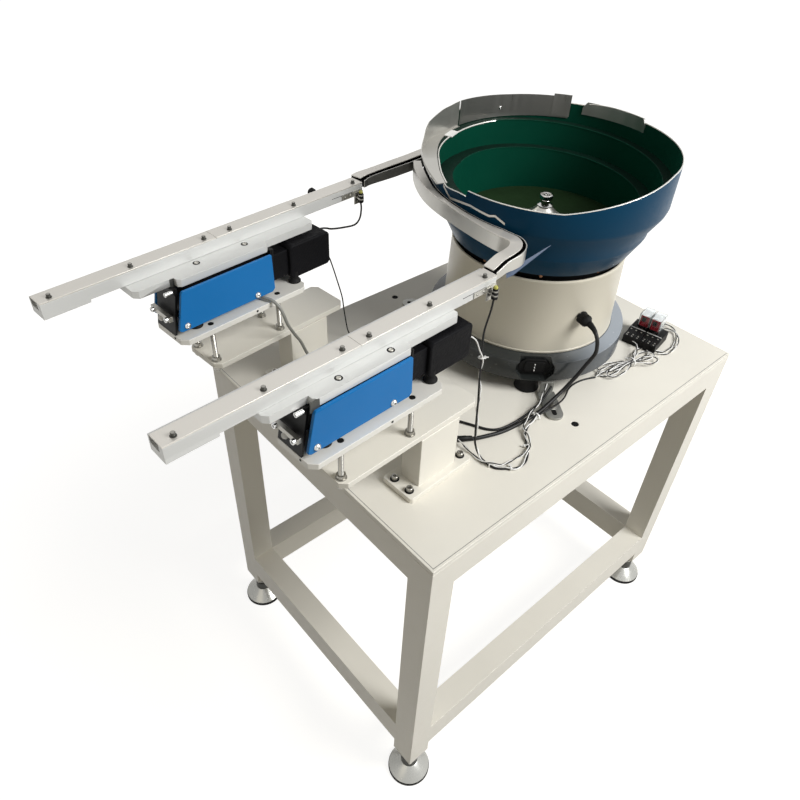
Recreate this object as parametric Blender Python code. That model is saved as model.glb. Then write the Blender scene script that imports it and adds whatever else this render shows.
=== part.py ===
"""Vibratory bowl feeder with two linear tracks on a welded table, in metres, +Z up."""

import math

import bmesh
import bpy
from mathutils import Matrix, Vector

# General clearances
SEAT = 0.0003
SLIDE_GAP = 0.0010
END_GAP = 0.0025

# Table, measured from its near left corner
TABLE_LENGTH = 1.000
TABLE_DEPTH = 0.738
TUBE = 0.060
PLATE = 0.010
FOOT_HEIGHT = 0.105
FRAME_HEIGHT = 0.796
LOW_RAIL_LIFT = 0.041
LOW_RAIL_HEIGHT = 0.080
TOP_RAIL_HEIGHT = 0.070
HOLE_FROM_EDGE = (0.082, 0.045)
HOLE_SPOTS = ((0.494, HOLE_FROM_EDGE[0]), (0.515, TABLE_DEPTH - HOLE_FROM_EDGE[1]))
HOLE_RADIUS = 0.008
TOP = FOOT_HEIGHT + FRAME_HEIGHT

# Levelling feet
PAD_RADIUS = 0.0525
STEM_RADIUS = 0.010
STEM_INSERT = 0.050
STEM_TRAVEL = 0.025

# Bowl drive
AXIS = (0.650, 0.374)
BASE_RADIUS = 0.229
BASE_LIFT = 0.035
BASE_HEIGHT = 0.0565
BASE_EDGE_DROP = 0.0045
POCKET_ANGLE = -131.0
POCKET_WIDTH = 0.062
POCKET_DEPTH = 0.016
CASING_RADIUS = 0.198
CASING_TOP_RADIUS = 0.192
CASING_WALL = 0.003
CASING_HEIGHT = 0.176
CASING_LIFT = BASE_LIFT + BASE_HEIGHT + SEAT
GLAND_ANGLE = -106.6
GLAND_LIFT = 0.174
GLAND_RADIUS = 0.013
SUPPORT_ANGLES = (-135.0, -15.0, 105.0)
SUPPORT_CIRCLE = 0.198
SUPPORT_RADIUS = 0.028
CLAMP_ANGLES = (-122.0, -2.0, 118.0)
COIL_HEIGHT = 0.100
TOP_PLATE_RADIUS = 0.180
TOP_PLATE_THICK = 0.020

# Bowl
BOWL_LIFT = 0.283
BOWL_RADIUS = 0.250
BOWL_WALL = 0.0025
BOWL_SOLE = 0.017
BOWL_FLOOR = BOWL_LIFT + BOWL_SOLE
BOWL_BORE = 0.0085
FLANK = ((0.221, 0.028), (0.223, 0.043))
TIER_INNER = 0.195
TIER_OUTER = 0.225
TRACK_PITCH = 0.060
TRACK_RISE = 0.105
TRACK_START = BOWL_FLOOR + TRACK_RISE
TIER_DROP = 0.052
SHOULDER = ((0.248, 0.018), (0.250, 0.010))
RIM_LOW = TRACK_START + 0.035
RIM_HIGH = TRACK_START + 0.077
RIM_END = TRACK_START + 0.0225
EXIT_FROM = 281.0
EXIT_OPEN = 287.0
EXIT_TO = 340.0
EXIT_END = 347.0
SEAM_ANGLE = 180.0
BOWL_STEPS = 60

# Guards, as angles and heights above the rim
GUARD_WALL = 0.0015
GUARD_BACK_FROM = 32.0
GUARD_BACK_TO = 98.2
GUARD_PROUD = 0.016
GUARD_LEFT = (
    (99.0, 0.2467, 0.050), (106.8, 0.2467, 0.044), (113.0, 0.2535, 0.038), (120.0, 0.2620, 0.029),
    (127.0, 0.2690, 0.022), (130.0, 0.2715, 0.009), (138.0, 0.2745, 0.008), (149.0, 0.2745, 0.006),
    (156.0, 0.2700, 0.005), (160.0, 0.2660, 0.004),
)

# Chutes
CHUTE_WALL = 0.002
CHUTE_SLOT = 0.006
CHUTE_1_WIDTH = 0.032
CHUTE_1_RUN = (
    (127.0, 0.0180, 0.0245, 0.0017), (136.0, 0.0075, 0.0270, 0.0017), (145.0, 0.0012, 0.0275, 0.0017),
    (155.0, 0.0008, 0.0237, 0.0017), (164.0, 0.0008, 0.0202, 0.0017), (173.0, 0.0008, 0.0182, 0.0020),
    (183.0, 0.0008, 0.0192, 0.0050), (192.0, 0.0008, 0.0240, 0.0085), (200.0, 0.0008, CHUTE_1_WIDTH, 0.0115),
)
CHUTE_1_FALL = (0.12, 0.22, 0.32, 0.42, 0.65)
CHUTE_END_LIFT = 0.0038
CHUTE_2_WIDTH = 0.038
COVER_THICK = 0.0022

# Linear tracks, lengths along the track and heights above the table top
FLANGE_LENGTH = 0.168
FLANGE_WIDTH = 0.080
FLANGE_THICK = 0.0115
PILLAR_LENGTH = 0.100
PILLAR_WIDTH = 0.048
PILLAR_SPOT = (0.1535, -0.0275)
STAND_BOTTOM = 0.131
STAND_THICK = 0.012
STAND_FROM = -0.079
STAND_TO = 0.257
PLATE_WIDTH = 0.100
STUD_FROM = -0.067
STUD_TO = 0.091
STUD_OFFSET = 0.0315
STUD_RADIUS = 0.005
BED_BOTTOM = 0.217
BED_THICK = 0.012
BED_FROM = -0.137
BED_TO = 0.157
HOUSING_BOTTOM = 0.240
HOUSING_TOP = 0.320
HOUSING_NEAR = -0.036
HOUSING_WIDTH = 0.088
HOUSING_SHEET = 0.006
BLOCK_FROM = -0.100
BLOCK_TO = 0.074
BOX_FROM = 0.102
LINK_TOP = 0.274
BOX_TO = 0.212
BOX_BOTTOM = 0.250
BOX_TOP = 0.312
ADAPTER_BOTTOM = 0.3217
ADAPTER_THICK = 0.0145
ADAPTER_NEAR = -0.030
ADAPTER_FAR = 0.052
RAIL_FROM = -0.331
RAIL_WIDTH = 0.039
RAIL_HEIGHT = 0.0232
RAIL_STEP_TO = -0.250
RAIL_STEP = 0.005
RAIL_LIP = 0.006
RAIL_TOP = ADAPTER_BOTTOM + ADAPTER_THICK + SEAT + RAIL_HEIGHT
TRACKS = (
    {"tag": "near", "y": 0.2015, "yaw": 2.42, "rail_to": 0.323, "shift": 0.0, "edge": 0.0},
    {"tag": "far", "y": 0.6070, "yaw": 4.80, "rail_to": 0.378, "shift": 0.0215, "edge": 0.0065},
)

# Amplifiers and cords, on the table
AMPLIFIER = (0.080, 0.0415, 0.036)
AMPLIFIER_COVER_LENGTH = 0.040
AMPLIFIER_SPOTS = ((0.8727, 0.1863, 10.0), (0.8801, 0.1445, 10.0))
HANK_FROM = (0.694, 0.148)
HANK_TO = (0.812, 0.108)
HANK_WIDTH = 0.044
HANK_HEIGHT = 0.020
DRIVE_CABLE_D = 0.0085
LEAD_D = 0.0040
THIN_LEAD_D = 0.0030
TRACK_CABLE_D = 0.0065

X_LOW = min(
    RAIL_FROM * math.cos(math.radians(t["yaw"]))
    - (t["shift"] + RAIL_WIDTH) * math.sin(math.radians(t["yaw"]))
    for t in TRACKS
)
X_HIGH = TABLE_LENGTH - TUBE / 2 + PAD_RADIUS
X_MID = (X_LOW + X_HIGH) / 2
Y_MID = TABLE_DEPTH / 2

STEEL = ("stainless", (0.62, 0.62, 0.61), 1.0, 0.28)
PAINT = ("cream_paint", (0.80, 0.77, 0.68), 0.0, 0.45)
CASING_PAINT = ("casing_paint", (0.70, 0.64, 0.50), 0.0, 0.40)
BASE_PAINT = ("base_paint", (0.16, 0.18, 0.21), 0.0, 0.45)
BOWL_PAINT = ("bowl_paint", (0.02, 0.05, 0.10), 0.0, 0.30)
BLUE = ("blue_paint", (0.02, 0.16, 0.48), 0.0, 0.40)
BLACK = ("black_cast", (0.02, 0.02, 0.022), 0.0, 0.60)
RUBBER = ("rubber", (0.015, 0.015, 0.015), 0.0, 0.75)
ALUMINIUM = ("aluminium", (0.68, 0.69, 0.70), 1.0, 0.35)
CHROME = ("chrome", (0.80, 0.80, 0.80), 1.0, 0.10)
CLEAR = ("clear_plastic", (0.75, 0.78, 0.80), 0.0, 0.10)
CORD = ("cord_jacket", (0.02, 0.02, 0.02), 0.0, 0.50)
PALE_CORD = ("pale_jacket", (0.55, 0.55, 0.53), 0.0, 0.50)


def clear_scene():
    for obj in list(bpy.data.objects):
        bpy.data.objects.remove(obj, do_unlink=True)


def material(spec):
    name, colour, metallic, roughness = spec
    found = bpy.data.materials.get(name)
    if found:
        return found
    made = bpy.data.materials.new(name)
    made.use_nodes = True
    shader = made.node_tree.nodes["Principled BSDF"]
    shader.inputs["Base Color"].default_value = (*colour, 1.0)
    shader.inputs["Metallic"].default_value = metallic
    shader.inputs["Roughness"].default_value = roughness
    return made


def empty(name, spot, turn=0.0, parent=None):
    obj = bpy.data.objects.new(name, None)
    bpy.context.scene.collection.objects.link(obj)
    obj.location = spot
    obj.rotation_euler = (0.0, 0.0, math.radians(turn))
    obj.parent = parent
    return obj


def box(x, y, z):
    points = [(a, b, c) for c in z for b in y for a in x]
    faces = [(0, 1, 3, 2), (4, 5, 7, 6), (0, 1, 5, 4), (2, 3, 7, 6), (0, 2, 6, 4), (1, 3, 7, 5)]
    return points, faces


def prism(outline, low, high, axis="z"):
    """An outline pushed from low to high along one axis."""
    count = len(outline)
    turn = {"z": lambda u, v, w: (u, v, w), "y": lambda u, v, w: (u, w, v), "x": lambda u, v, w: (w, u, v)}
    points = [turn[axis](u, v, w) for w in (low, high) for u, v in outline]
    faces = [tuple(range(count)), tuple(range(count, 2 * count))]
    for i in range(count):
        j = (i + 1) % count
        faces.append((i, j, count + j, count + i))
    return points, faces


def turned(profile, steps=24, spot=(0.0, 0.0, 0.0)):
    """A closed profile of (radius, height) turned about Z. A radius of 0 makes a pole."""
    points = []
    rows = []
    for radius, height in profile:
        if radius == 0:
            rows.append([len(points)] * steps)
            points.append((spot[0], spot[1], spot[2] + height))
            continue
        rows.append(list(range(len(points), len(points) + steps)))
        for i in range(steps):
            angle = 2 * math.pi * i / steps
            points.append(
                (spot[0] + radius * math.cos(angle), spot[1] + radius * math.sin(angle), spot[2] + height)
            )
    faces = []
    for a, b in zip(rows, rows[1:] + rows[:1]):
        for i in range(steps):
            j = (i + 1) % steps
            corners = []
            for corner in (a[i], a[j], b[j], b[i]):
                if corner not in corners:
                    corners.append(corner)
            if len(corners) > 2:
                faces.append(tuple(corners))
    return points, faces


def cylinder(radius, low, high, spot=(0.0, 0.0, 0.0), steps=20):
    return turned([(0, low), (radius, low), (radius, high), (0, high)], steps, spot)


def moved(shape, matrix):
    points, faces = shape
    return [tuple(matrix @ Vector(p)) for p in points], faces


def placed(shape, spot=(0, 0, 0), turn=0.0, tilt=0.0):
    """Turned about Z after a tilt about X, both in degrees, then moved to the spot."""
    spin = Matrix.Rotation(math.radians(turn), 4, "Z") @ Matrix.Rotation(math.radians(tilt), 4, "X")
    return moved(shape, Matrix.Translation(spot) @ spin)


def arc(radius, start, end, steps):
    span = range(steps + 1)
    angles = [math.radians(start + (end - start) * i / steps) for i in span]
    return [(radius * math.cos(a), radius * math.sin(a)) for a in angles]


def band(inner, outer, low, high, start, end, steps):
    """A curved strip about the axis, standing on low and ending at high."""
    outline = arc(outer, start, end, steps) + arc(inner, end, start, steps)
    return prism(outline, low, high)


def chamfered(x0, x1, y0, y1, cut):
    return [
        (x0 + cut, y0), (x1 - cut, y0), (x1, y0 + cut), (x1, y1 - cut),
        (x1 - cut, y1), (x0 + cut, y1), (x0, y1 - cut), (x0, y0 + cut),
    ]


def swept(path, sections):
    """One section per path point, each a list of (left, height); a closed body with end caps."""
    points = []
    count = len(sections[0])
    flat = [Vector((p[0], p[1])) for p in path]
    for i, here in enumerate(flat):
        ahead = (flat[min(i + 1, len(flat) - 1)] - here)
        behind = (here - flat[max(i - 1, 0)])
        ahead = ahead.normalized() if ahead.length else behind.normalized()
        behind = behind.normalized() if behind.length else ahead
        way = (ahead + behind).normalized()
        left = Vector((-way.y, way.x)) / max(way.dot(ahead), 0.5)
        for side, height in sections[i]:
            spot = here + left * side
            points.append((spot.x, spot.y, height))
    faces = [tuple(range(count)), tuple(range(len(points) - count, len(points)))]
    for i in range(len(path) - 1):
        for j in range(count):
            k = (j + 1) % count
            faces.append((i * count + j, i * count + k, (i + 1) * count + k, (i + 1) * count + j))
    return points, faces


def helper(name, shape, parent):
    obj = solid(name, shape, parent)
    obj.hide_render = True
    obj.display_type = "WIRE"
    return obj


def solid(name, shape, parent):
    points, faces = shape
    mesh = bpy.data.meshes.new(name)
    mesh.from_pydata(points, [], faces)
    made = bmesh.new()
    made.from_mesh(mesh)
    bmesh.ops.recalc_face_normals(made, faces=made.faces)
    made.to_mesh(mesh)
    made.free()
    obj = bpy.data.objects.new(name, mesh)
    bpy.context.scene.collection.objects.link(obj)
    obj.parent = parent
    return obj


def node(name, shape, spec, parent, join=(), cut=(), round_angle=None):
    """One named piece: the shape, with the joined shapes added and the cut shapes taken away."""
    obj = solid(name, shape, parent)
    obj.data.materials.append(material(spec))
    for kind, shapes in (("UNION", join), ("DIFFERENCE", cut)):
        for i, other in enumerate(shapes):
            tool = helper(f"{name}.{kind.lower()}{i}", other, parent)
            modifier = obj.modifiers.new(f"{kind.lower()}{i}", "BOOLEAN")
            modifier.operation = kind
            modifier.solver = "EXACT"
            modifier.object = tool
    if round_angle:
        obj.data.shade_smooth()
        obj.data.set_sharp_from_angle(angle=math.radians(round_angle))
    return obj


def table_frame(root):
    high = TOP - PLATE - SEAT
    inset = TUBE - 0.012
    legs = []
    holes = []
    for x in (0.0, TABLE_LENGTH - TUBE):
        for y in (0.0, TABLE_DEPTH - TUBE):
            legs.append(box((x, x + TUBE), (y, y + TUBE), (FOOT_HEIGHT, high)))
            spot = (x + TUBE / 2, y + TUBE / 2, FOOT_HEIGHT)
            holes.append(cylinder(STEM_RADIUS + 0.0015, -0.01, STEM_INSERT + 0.003, spot))
    low = FOOT_HEIGHT + LOW_RAIL_LIFT
    rails = []
    for z in ((low, low + LOW_RAIL_HEIGHT), (high - TOP_RAIL_HEIGHT, high)):
        for y in (0.0, TABLE_DEPTH - TUBE):
            rails.append(box((inset, TABLE_LENGTH - inset), (y, y + TUBE), z))
        for x in (0.0, TABLE_LENGTH - TUBE):
            rails.append(box((x, x + TUBE), (inset, TABLE_DEPTH - inset), z))
    return node("table_frame", legs[0], PAINT, root, join=rails + legs[1:], cut=holes)


def table_top(root):
    plate = box((0.0, TABLE_LENGTH), (0.0, TABLE_DEPTH), (TOP - PLATE, TOP))
    holes = [cylinder(HOLE_RADIUS, TOP - 0.03, TOP + 0.02, (x, y, 0.0)) for x, y in HOLE_SPOTS]
    return node("table_top", plate, PAINT, root, cut=holes)


def levelling_foot(number, x, y, root):
    neck = FOOT_HEIGHT - SEAT
    profile = [
        (0, 0), (PAD_RADIUS - 0.002, 0), (PAD_RADIUS, 0.004), (PAD_RADIUS, 0.014), (PAD_RADIUS - 0.004, 0.017),
        (0.042, 0.030), (0.026, 0.046), (0.017, 0.056), (0.0165, neck - 0.016), (0.0175, neck - 0.015),
        (0.0175, neck), (STEM_RADIUS, neck), (STEM_RADIUS, neck + STEM_INSERT), (0, neck + STEM_INSERT),
    ]
    return node(f"foot_{number}", turned(profile, 20, (x, y, 0.0)), CHROME, root, round_angle=40)


def drive_base(centre):
    high = BASE_LIFT + BASE_HEIGHT
    profile = [
        (0, BASE_LIFT), (BASE_RADIUS - 0.003, BASE_LIFT), (BASE_RADIUS, BASE_LIFT + 0.003),
        (BASE_RADIUS, high - BASE_EDGE_DROP), (CASING_RADIUS + 0.003, high), (0, high),
    ]
    half = POCKET_WIDTH / 2
    corner = 0.014
    low = BASE_LIFT + 0.010
    outline = [
        (-half + corner, low), (half - corner, low), (half, low + corner), (half, high - corner),
        (half - corner, high + 0.01), (-half + corner, high + 0.01), (-half, high - corner), (-half, low + corner),
    ]
    pocket = prism(outline, BASE_RADIUS - POCKET_DEPTH, BASE_RADIUS + 0.02, "y")
    pocket = placed(pocket, turn=POCKET_ANGLE - 90.0)
    return node("drive_base", turned(profile, 64), BASE_PAINT, centre, cut=[pocket], round_angle=30)


def drive_support(number, angle, centre):
    a = math.radians(angle)
    spot = (SUPPORT_CIRCLE * math.cos(a), SUPPORT_CIRCLE * math.sin(a), 0.0)
    top = BASE_LIFT - SEAT
    profile = [
        (0, SEAT), (SUPPORT_RADIUS - 0.003, SEAT), (SUPPORT_RADIUS, 0.004),
        (SUPPORT_RADIUS, top - 0.006), (SUPPORT_RADIUS - 0.003, top), (0, top),
    ]
    return node(f"drive_support_{number}", turned(profile, 24, spot), RUBBER, centre, round_angle=40)


def drive_clamp(number, angle, centre):
    inner = BASE_RADIUS + SEAT
    sole = chamfered(inner + 0.002, inner + 0.060, -0.018, 0.018, 0.008)
    sole = placed(prism(sole, SEAT, 0.010), turn=angle)
    post = placed(box((inner, inner + 0.012), (-0.014, 0.014), (0.006, 0.066)), turn=angle)
    a = math.radians(angle)
    spot = ((inner + 0.038) * math.cos(a), (inner + 0.038) * math.sin(a), 0.0)
    head = cylinder(0.0085, 0.008, 0.020, spot, 6)
    return node(f"drive_clamp_{number}", sole, STEEL, centre, join=[post, head])


def casing(centre):
    high = CASING_LIFT + CASING_HEIGHT
    profile = [
        (CASING_RADIUS - CASING_WALL, CASING_LIFT), (CASING_RADIUS, CASING_LIFT),
        (CASING_TOP_RADIUS, high), (CASING_TOP_RADIUS - CASING_WALL, high),
    ]
    hole = placed(cylinder(0.008, 0.15, 0.25), (0, 0, GLAND_LIFT), GLAND_ANGLE + 90.0, 90.0)
    return node("casing", turned(profile, 64), CASING_PAINT, centre, cut=[hole], round_angle=30)


def gland(centre):
    start = (CASING_RADIUS + CASING_TOP_RADIUS) / 2 + 0.0012
    profile = [
        (0, start - 0.010), (0.0072, start - 0.010), (0.0072, start), (GLAND_RADIUS, start),
        (GLAND_RADIUS, start + 0.012), (0.0105, start + 0.015), (0.0105, start + 0.026),
        (0.0075, start + 0.030), (0, start + 0.030),
    ]
    shape = placed(turned(profile, 20), (0, 0, GLAND_LIFT), GLAND_ANGLE + 90.0, 90.0)
    return node("gland", shape, BLACK, centre, round_angle=40)


def coil(centre):
    low = BASE_LIFT + BASE_HEIGHT + SEAT
    core = box((-0.050, 0.050), (-0.040, 0.040), (low, low + COIL_HEIGHT))
    winding = prism(chamfered(-0.065, 0.065, -0.055, 0.055, 0.02), low + 0.020, low + 0.070)
    return node("coil", core, BLACK, centre, join=[winding])


def drive_top(centre):
    high = BOWL_LIFT - SEAT
    low = high - TOP_PLATE_THICK
    plate = cylinder(TOP_PLATE_RADIUS, low, high, steps=36)
    coil_top = BASE_LIFT + BASE_HEIGHT + SEAT + COIL_HEIGHT
    armature = box((-0.048, 0.048), (-0.038, 0.038), (coil_top + END_GAP, low + 0.004))
    springs = []
    foot = BASE_LIFT + BASE_HEIGHT + SEAT
    lean = (low - foot) * math.tan(math.radians(20.0)) / 2
    for angle in (30.0, 150.0, 270.0):
        low_end = (-lean - 0.004, foot), (-lean + 0.004, foot)
        high_end = (lean + 0.004, low + 0.004), (lean - 0.004, low + 0.004)
        blade = prism(low_end + high_end, 0.125, 0.165, "y")
        springs.append(placed(blade, turn=angle))
    return node("drive_top", plate, BLACK, centre, join=[armature] + springs)


def lane_height(turn):
    return TRACK_START + TRACK_PITCH * turn / 360.0


def rim_height(turn):
    """Rim height at an angle past the seam, in degrees. It is cut down where the lane leaves the bowl."""
    climb = min(max((turn - 44.0) / 57.0, 0.0), 1.0)
    full = RIM_LOW + (RIM_HIGH - RIM_LOW) * climb
    if turn <= EXIT_FROM:
        return full
    if turn <= EXIT_OPEN:
        return full + (lane_height(turn) - full) * (turn - EXIT_FROM) / (EXIT_OPEN - EXIT_FROM)
    part = min(max((turn - EXIT_TO) / (EXIT_END - EXIT_TO), 0.0), 1.0)
    return lane_height(turn) + (RIM_END - lane_height(turn)) * part


def bowl_turns():
    """Even steps past the seam, with the corners of the exit and the seam's own face put in."""
    corners = (EXIT_FROM, EXIT_OPEN, EXIT_TO, EXIT_END, 358.8)
    even = [360.0 * step / (BOWL_STEPS - 1) for step in range(BOWL_STEPS - 1)]
    return sorted([t for t in even if all(abs(t - c) > 2.5 for c in corners)] + list(corners))


def bowl(centre):
    inner = BOWL_RADIUS - BOWL_WALL
    points = []
    count = 14
    for turn in bowl_turns():
        run_out = min(max((turn - EXIT_OPEN) / 48.0, 0.0), 1.0)
        mid = TIER_OUTER + (inner - 0.003 - TIER_OUTER) * run_out
        low = TIER_INNER + (TIER_OUTER - TIER_INNER) * run_out
        rim = rim_height(turn)
        tier = lane_height(turn) - TIER_DROP
        track = min(lane_height(turn), rim + 0.001)
        section = [(BOWL_BORE, BOWL_LIFT), (0.198, BOWL_LIFT)]
        section += [(r, BOWL_FLOOR + rise) for r, rise in FLANK]
        section += [(r, TRACK_START - drop) for r, drop in SHOULDER]
        section += [
            (BOWL_RADIUS, rim), (inner, rim), (inner, track - 0.002), (mid, track),
            (mid - 0.001, tier - 0.002), (low, tier), (0.192, BOWL_FLOOR), (BOWL_BORE, BOWL_FLOOR),
        ]
        angle = math.radians(SEAM_ANGLE + turn)
        points += [(r * math.cos(angle), r * math.sin(angle), z) for r, z in section]
    faces = []
    steps = len(points) // count
    for step in range(steps):
        after = (step + 1) % steps
        for i in range(count):
            j = (i + 1) % count
            faces.append((step * count + i, step * count + j, after * count + j, after * count + i))
    return node("bowl", (points, faces), BOWL_PAINT, centre, round_angle=30)


def bowl_cone(centre):
    low = BOWL_FLOOR + SEAT
    profile = [
        (BOWL_BORE, low), (0.100, low), (0.098, low + 0.004), (0.030, low + 0.052),
        (0.022, low + 0.058), (BOWL_BORE, low + 0.058),
    ]
    return node("bowl_cone", turned(profile, 36), STEEL, centre, round_angle=30)


def bowl_nut(centre):
    low = BOWL_FLOOR + 2 * SEAT + 0.058
    profile = [
        (0, BOWL_LIFT + 0.002), (BOWL_BORE - 0.001, BOWL_LIFT + 0.002), (BOWL_BORE - 0.001, low),
        (0.019, low), (0.020, low + 0.002), (0.020, low + 0.016), (0.018, low + 0.018),
        (0.007, low + 0.018), (0.007, low + 0.026), (0, low + 0.026),
    ]
    return node("bowl_nut", turned(profile, 20), STEEL, centre, round_angle=40)


def guard_back(centre):
    face = BOWL_RADIUS - BOWL_WALL - 0.0008
    low = lane_height(GUARD_BACK_TO - SEAM_ANGLE + 360.0) + 0.001
    start, end = GUARD_BACK_FROM, GUARD_BACK_TO
    strip = band(face - GUARD_WALL, face, low, RIM_HIGH + GUARD_PROUD, start, end, 20)
    return node("guard_back", strip, STEEL, centre, round_angle=30)


def between(table, key):
    """A row of the table at the key, on straight lines between its rows."""
    for a, b in zip(table, table[1:]):
        if key <= b[0]:
            part = (key - a[0]) / (b[0] - a[0])
            return [p + (q - p) * part for p, q in zip(a, b)]
    return list(table[-1])


def guard_left(centre):
    """The lane's outer wall and floor, which carry it over the cut rim and out of the bowl."""
    points = []
    first, last = GUARD_LEFT[0][0], GUARD_LEFT[-1][0]
    steps = 18
    for i in range(steps + 1):
        angle, outer, tall = between(GUARD_LEFT, first + (last - first) * i / steps)
        lane = lane_height(angle + 360.0 - SEAM_ANGLE) + SEAT
        inner = 0.2400 + 0.0078 * min(max((angle - first) / (150.0 - first), 0.0), 1.0)
        section = [
            (inner, lane), (outer, lane), (outer, lane + tall), (outer - GUARD_WALL, lane + tall),
            (outer - GUARD_WALL, lane + GUARD_WALL), (inner, lane + GUARD_WALL),
        ]
        a = math.radians(angle)
        points += [(r * math.cos(a), r * math.sin(a), z) for r, z in section]
    count = 6
    faces = [tuple(range(count)), tuple(range(len(points) - count, len(points)))]
    for i in range(steps):
        for j in range(count):
            k = (j + 1) % count
            faces.append((i * count + j, i * count + k, (i + 1) * count + k, (i + 1) * count + j))
    return node("guard_left", (points, faces), STEEL, centre, round_angle=30)


def chute_section(width, top, depth):
    half = width / 2
    low = top - depth
    return [
        (-half, top), (-half, low), (half, low), (half, top),
        (half - CHUTE_WALL, top), (half - CHUTE_WALL, low + CHUTE_WALL),
        (-half + CHUTE_WALL, low + CHUTE_WALL), (-half + CHUTE_WALL, top),
    ]


def cover_section(width, top):
    half = width / 2
    low = top + SEAT
    return [(-half, low), (half - CHUTE_SLOT, low), (half - CHUTE_SLOT, low + COVER_THICK), (-half, low + COVER_THICK)]


def chute_1_path():
    """Points (x, y, top, depth, width) from under the bowl exit to the near rail, about the bowl axis."""
    near = TRACKS[0]
    slope = math.tan(math.radians(near["yaw"]))
    end_x = near["rail_to"] + END_GAP
    line = near["y"] + near["shift"] + RAIL_WIDTH / 2
    points = []
    first, last = CHUTE_1_RUN[0][0], CHUTE_1_RUN[-1][0]
    for i in range(15):
        angle, gap, width, drop = between(CHUTE_1_RUN, first + (last - first) * i / 14)
        ring = BOWL_RADIUS + gap + width / 2
        a = math.radians(angle)
        points.append((ring * math.cos(a), ring * math.sin(a), TRACK_START - drop, 0.030, width))
    high, low = points[-1][2], RAIL_TOP + CHUTE_END_LIFT
    corner = [(-0.2485, -0.1080, 0.030), (-0.2490, -0.1220, 0.029), (-0.2570, -0.1330, 0.028), (-0.2700, -0.1375, 0.026)]
    for (x, y, depth), part in zip(corner, CHUTE_1_FALL):
        points.append((x, y, high + (low - high) * part, depth, CHUTE_1_WIDTH))
    for x, part, depth in ((-0.295, CHUTE_1_FALL[4], 0.021), (end_x - AXIS[0], 1.0, 0.015)):
        y = line + slope * (x + AXIS[0]) - AXIS[1]
        points.append((x, y, high + (low - high) * part, depth, CHUTE_1_WIDTH))
    return points


def chute_2_path():
    far = TRACKS[1]
    yaw = math.radians(far["yaw"])
    centre_line = far["shift"] + RAIL_WIDTH / 2
    end = far["rail_to"] + END_GAP
    x = end * math.cos(yaw) - centre_line * math.sin(yaw) - AXIS[0]
    y = far["y"] + end * math.sin(yaw) + centre_line * math.cos(yaw) - AXIS[1]
    bend_x = x + 0.022 * math.cos(yaw)
    bend_y = y + 0.022 * math.sin(yaw)
    high, low = TRACK_START + 0.011, RAIL_TOP + CHUTE_END_LIFT
    start = (-0.1124, 0.2365, high, 0.024, CHUTE_2_WIDTH)
    points = [start]
    for part, fall in ((0.35, 0.36), (0.65, 0.63)):
        spot = [start[0] + (bend_x - start[0]) * part, start[1] + (bend_y - start[1]) * part]
        points.append((*spot, high + (low - high) * fall, 0.021, CHUTE_2_WIDTH))
    points.append((bend_x, bend_y, low + 0.0025, 0.018, CHUTE_2_WIDTH))
    points.append((x, y, low, 0.016, CHUTE_2_WIDTH))
    return points


def chute(name, path, centre):
    sections = [chute_section(width, top, depth) for _, _, top, depth, width in path]
    node(name, swept(path, sections), STEEL, centre, round_angle=30)
    covers = [cover_section(width, top) for _, _, top, _, width in path]
    node(f"{name}_cover", swept(path, covers), STEEL, centre, round_angle=30)


def return_plate(centre):
    high = Vector((-0.1795, -0.1790, 0.402))
    low = Vector((-0.2560, -0.1135, 0.318))
    out = Vector((-0.70, -0.71, 0.0))
    up = Vector((0.0, 0.0, 1.0))
    corners = []
    for side in (0.0, 0.002):
        for end, tall in ((low, 0.020), (high, 0.006)):
            corners.append(end + out * side)
            corners.append(end + out * side + up * tall)
    faces = [(0, 1, 3, 2), (4, 5, 7, 6), (0, 1, 5, 4), (2, 3, 7, 6), (0, 2, 6, 4), (1, 3, 7, 5)]
    return node("return_plate", ([tuple(c) for c in corners], faces), BOWL_PAINT, centre)


def pillar(tag, line):
    x, y = PILLAR_SPOT
    flange = box(
        (x - FLANGE_LENGTH / 2, x + FLANGE_LENGTH / 2), (y - FLANGE_WIDTH / 2, y + FLANGE_WIDTH / 2), (SEAT, FLANGE_THICK)
    )
    post = box(
        (x - PILLAR_LENGTH / 2, x + PILLAR_LENGTH / 2),
        (y - PILLAR_WIDTH / 2, y + PILLAR_WIDTH / 2),
        (FLANGE_THICK - 0.004, STAND_BOTTOM - SEAT),
    )
    bolts = []
    for dx in (-0.070, 0.070):
        for dy in (-0.020, 0.020):
            bolts.append(cylinder(0.0065, FLANGE_THICK - 0.003, FLANGE_THICK + 0.010, (x + dx, y + dy, 0), 8))
    return node(f"{tag}_pillar", flange, PAINT, line, join=[post] + bolts)


def studs():
    return [(x, y) for x in (STUD_FROM, STUD_TO) for y in (-STUD_OFFSET, STUD_OFFSET)]


def stand_plate(tag, line):
    half = PLATE_WIDTH / 2
    low, high = STAND_BOTTOM, STAND_BOTTOM + STAND_THICK
    plate = prism(chamfered(STAND_FROM, STAND_TO, -half, half, 0.012), low, high)
    rods = []
    top = BED_BOTTOM + BED_THICK - 0.002
    under = BED_BOTTOM - SEAT
    for x, y in studs():
        profile = [
            (0, low - 0.009), (0.0095, low - 0.009), (0.0095, low + 0.001), (STUD_RADIUS, low + 0.001),
            (STUD_RADIUS, high - 0.001), (0.0095, high - 0.001), (0.0095, high + 0.010), (STUD_RADIUS, high + 0.010),
            (STUD_RADIUS, under - 0.008), (0.0095, under - 0.008), (0.0095, under), (STUD_RADIUS, under),
            (STUD_RADIUS, top), (0, top),
        ]
        rods.append(turned(profile, 8, (x, y, 0)))
    return node(f"{tag}_stand_plate", plate, ALUMINIUM, line, join=rods)


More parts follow.
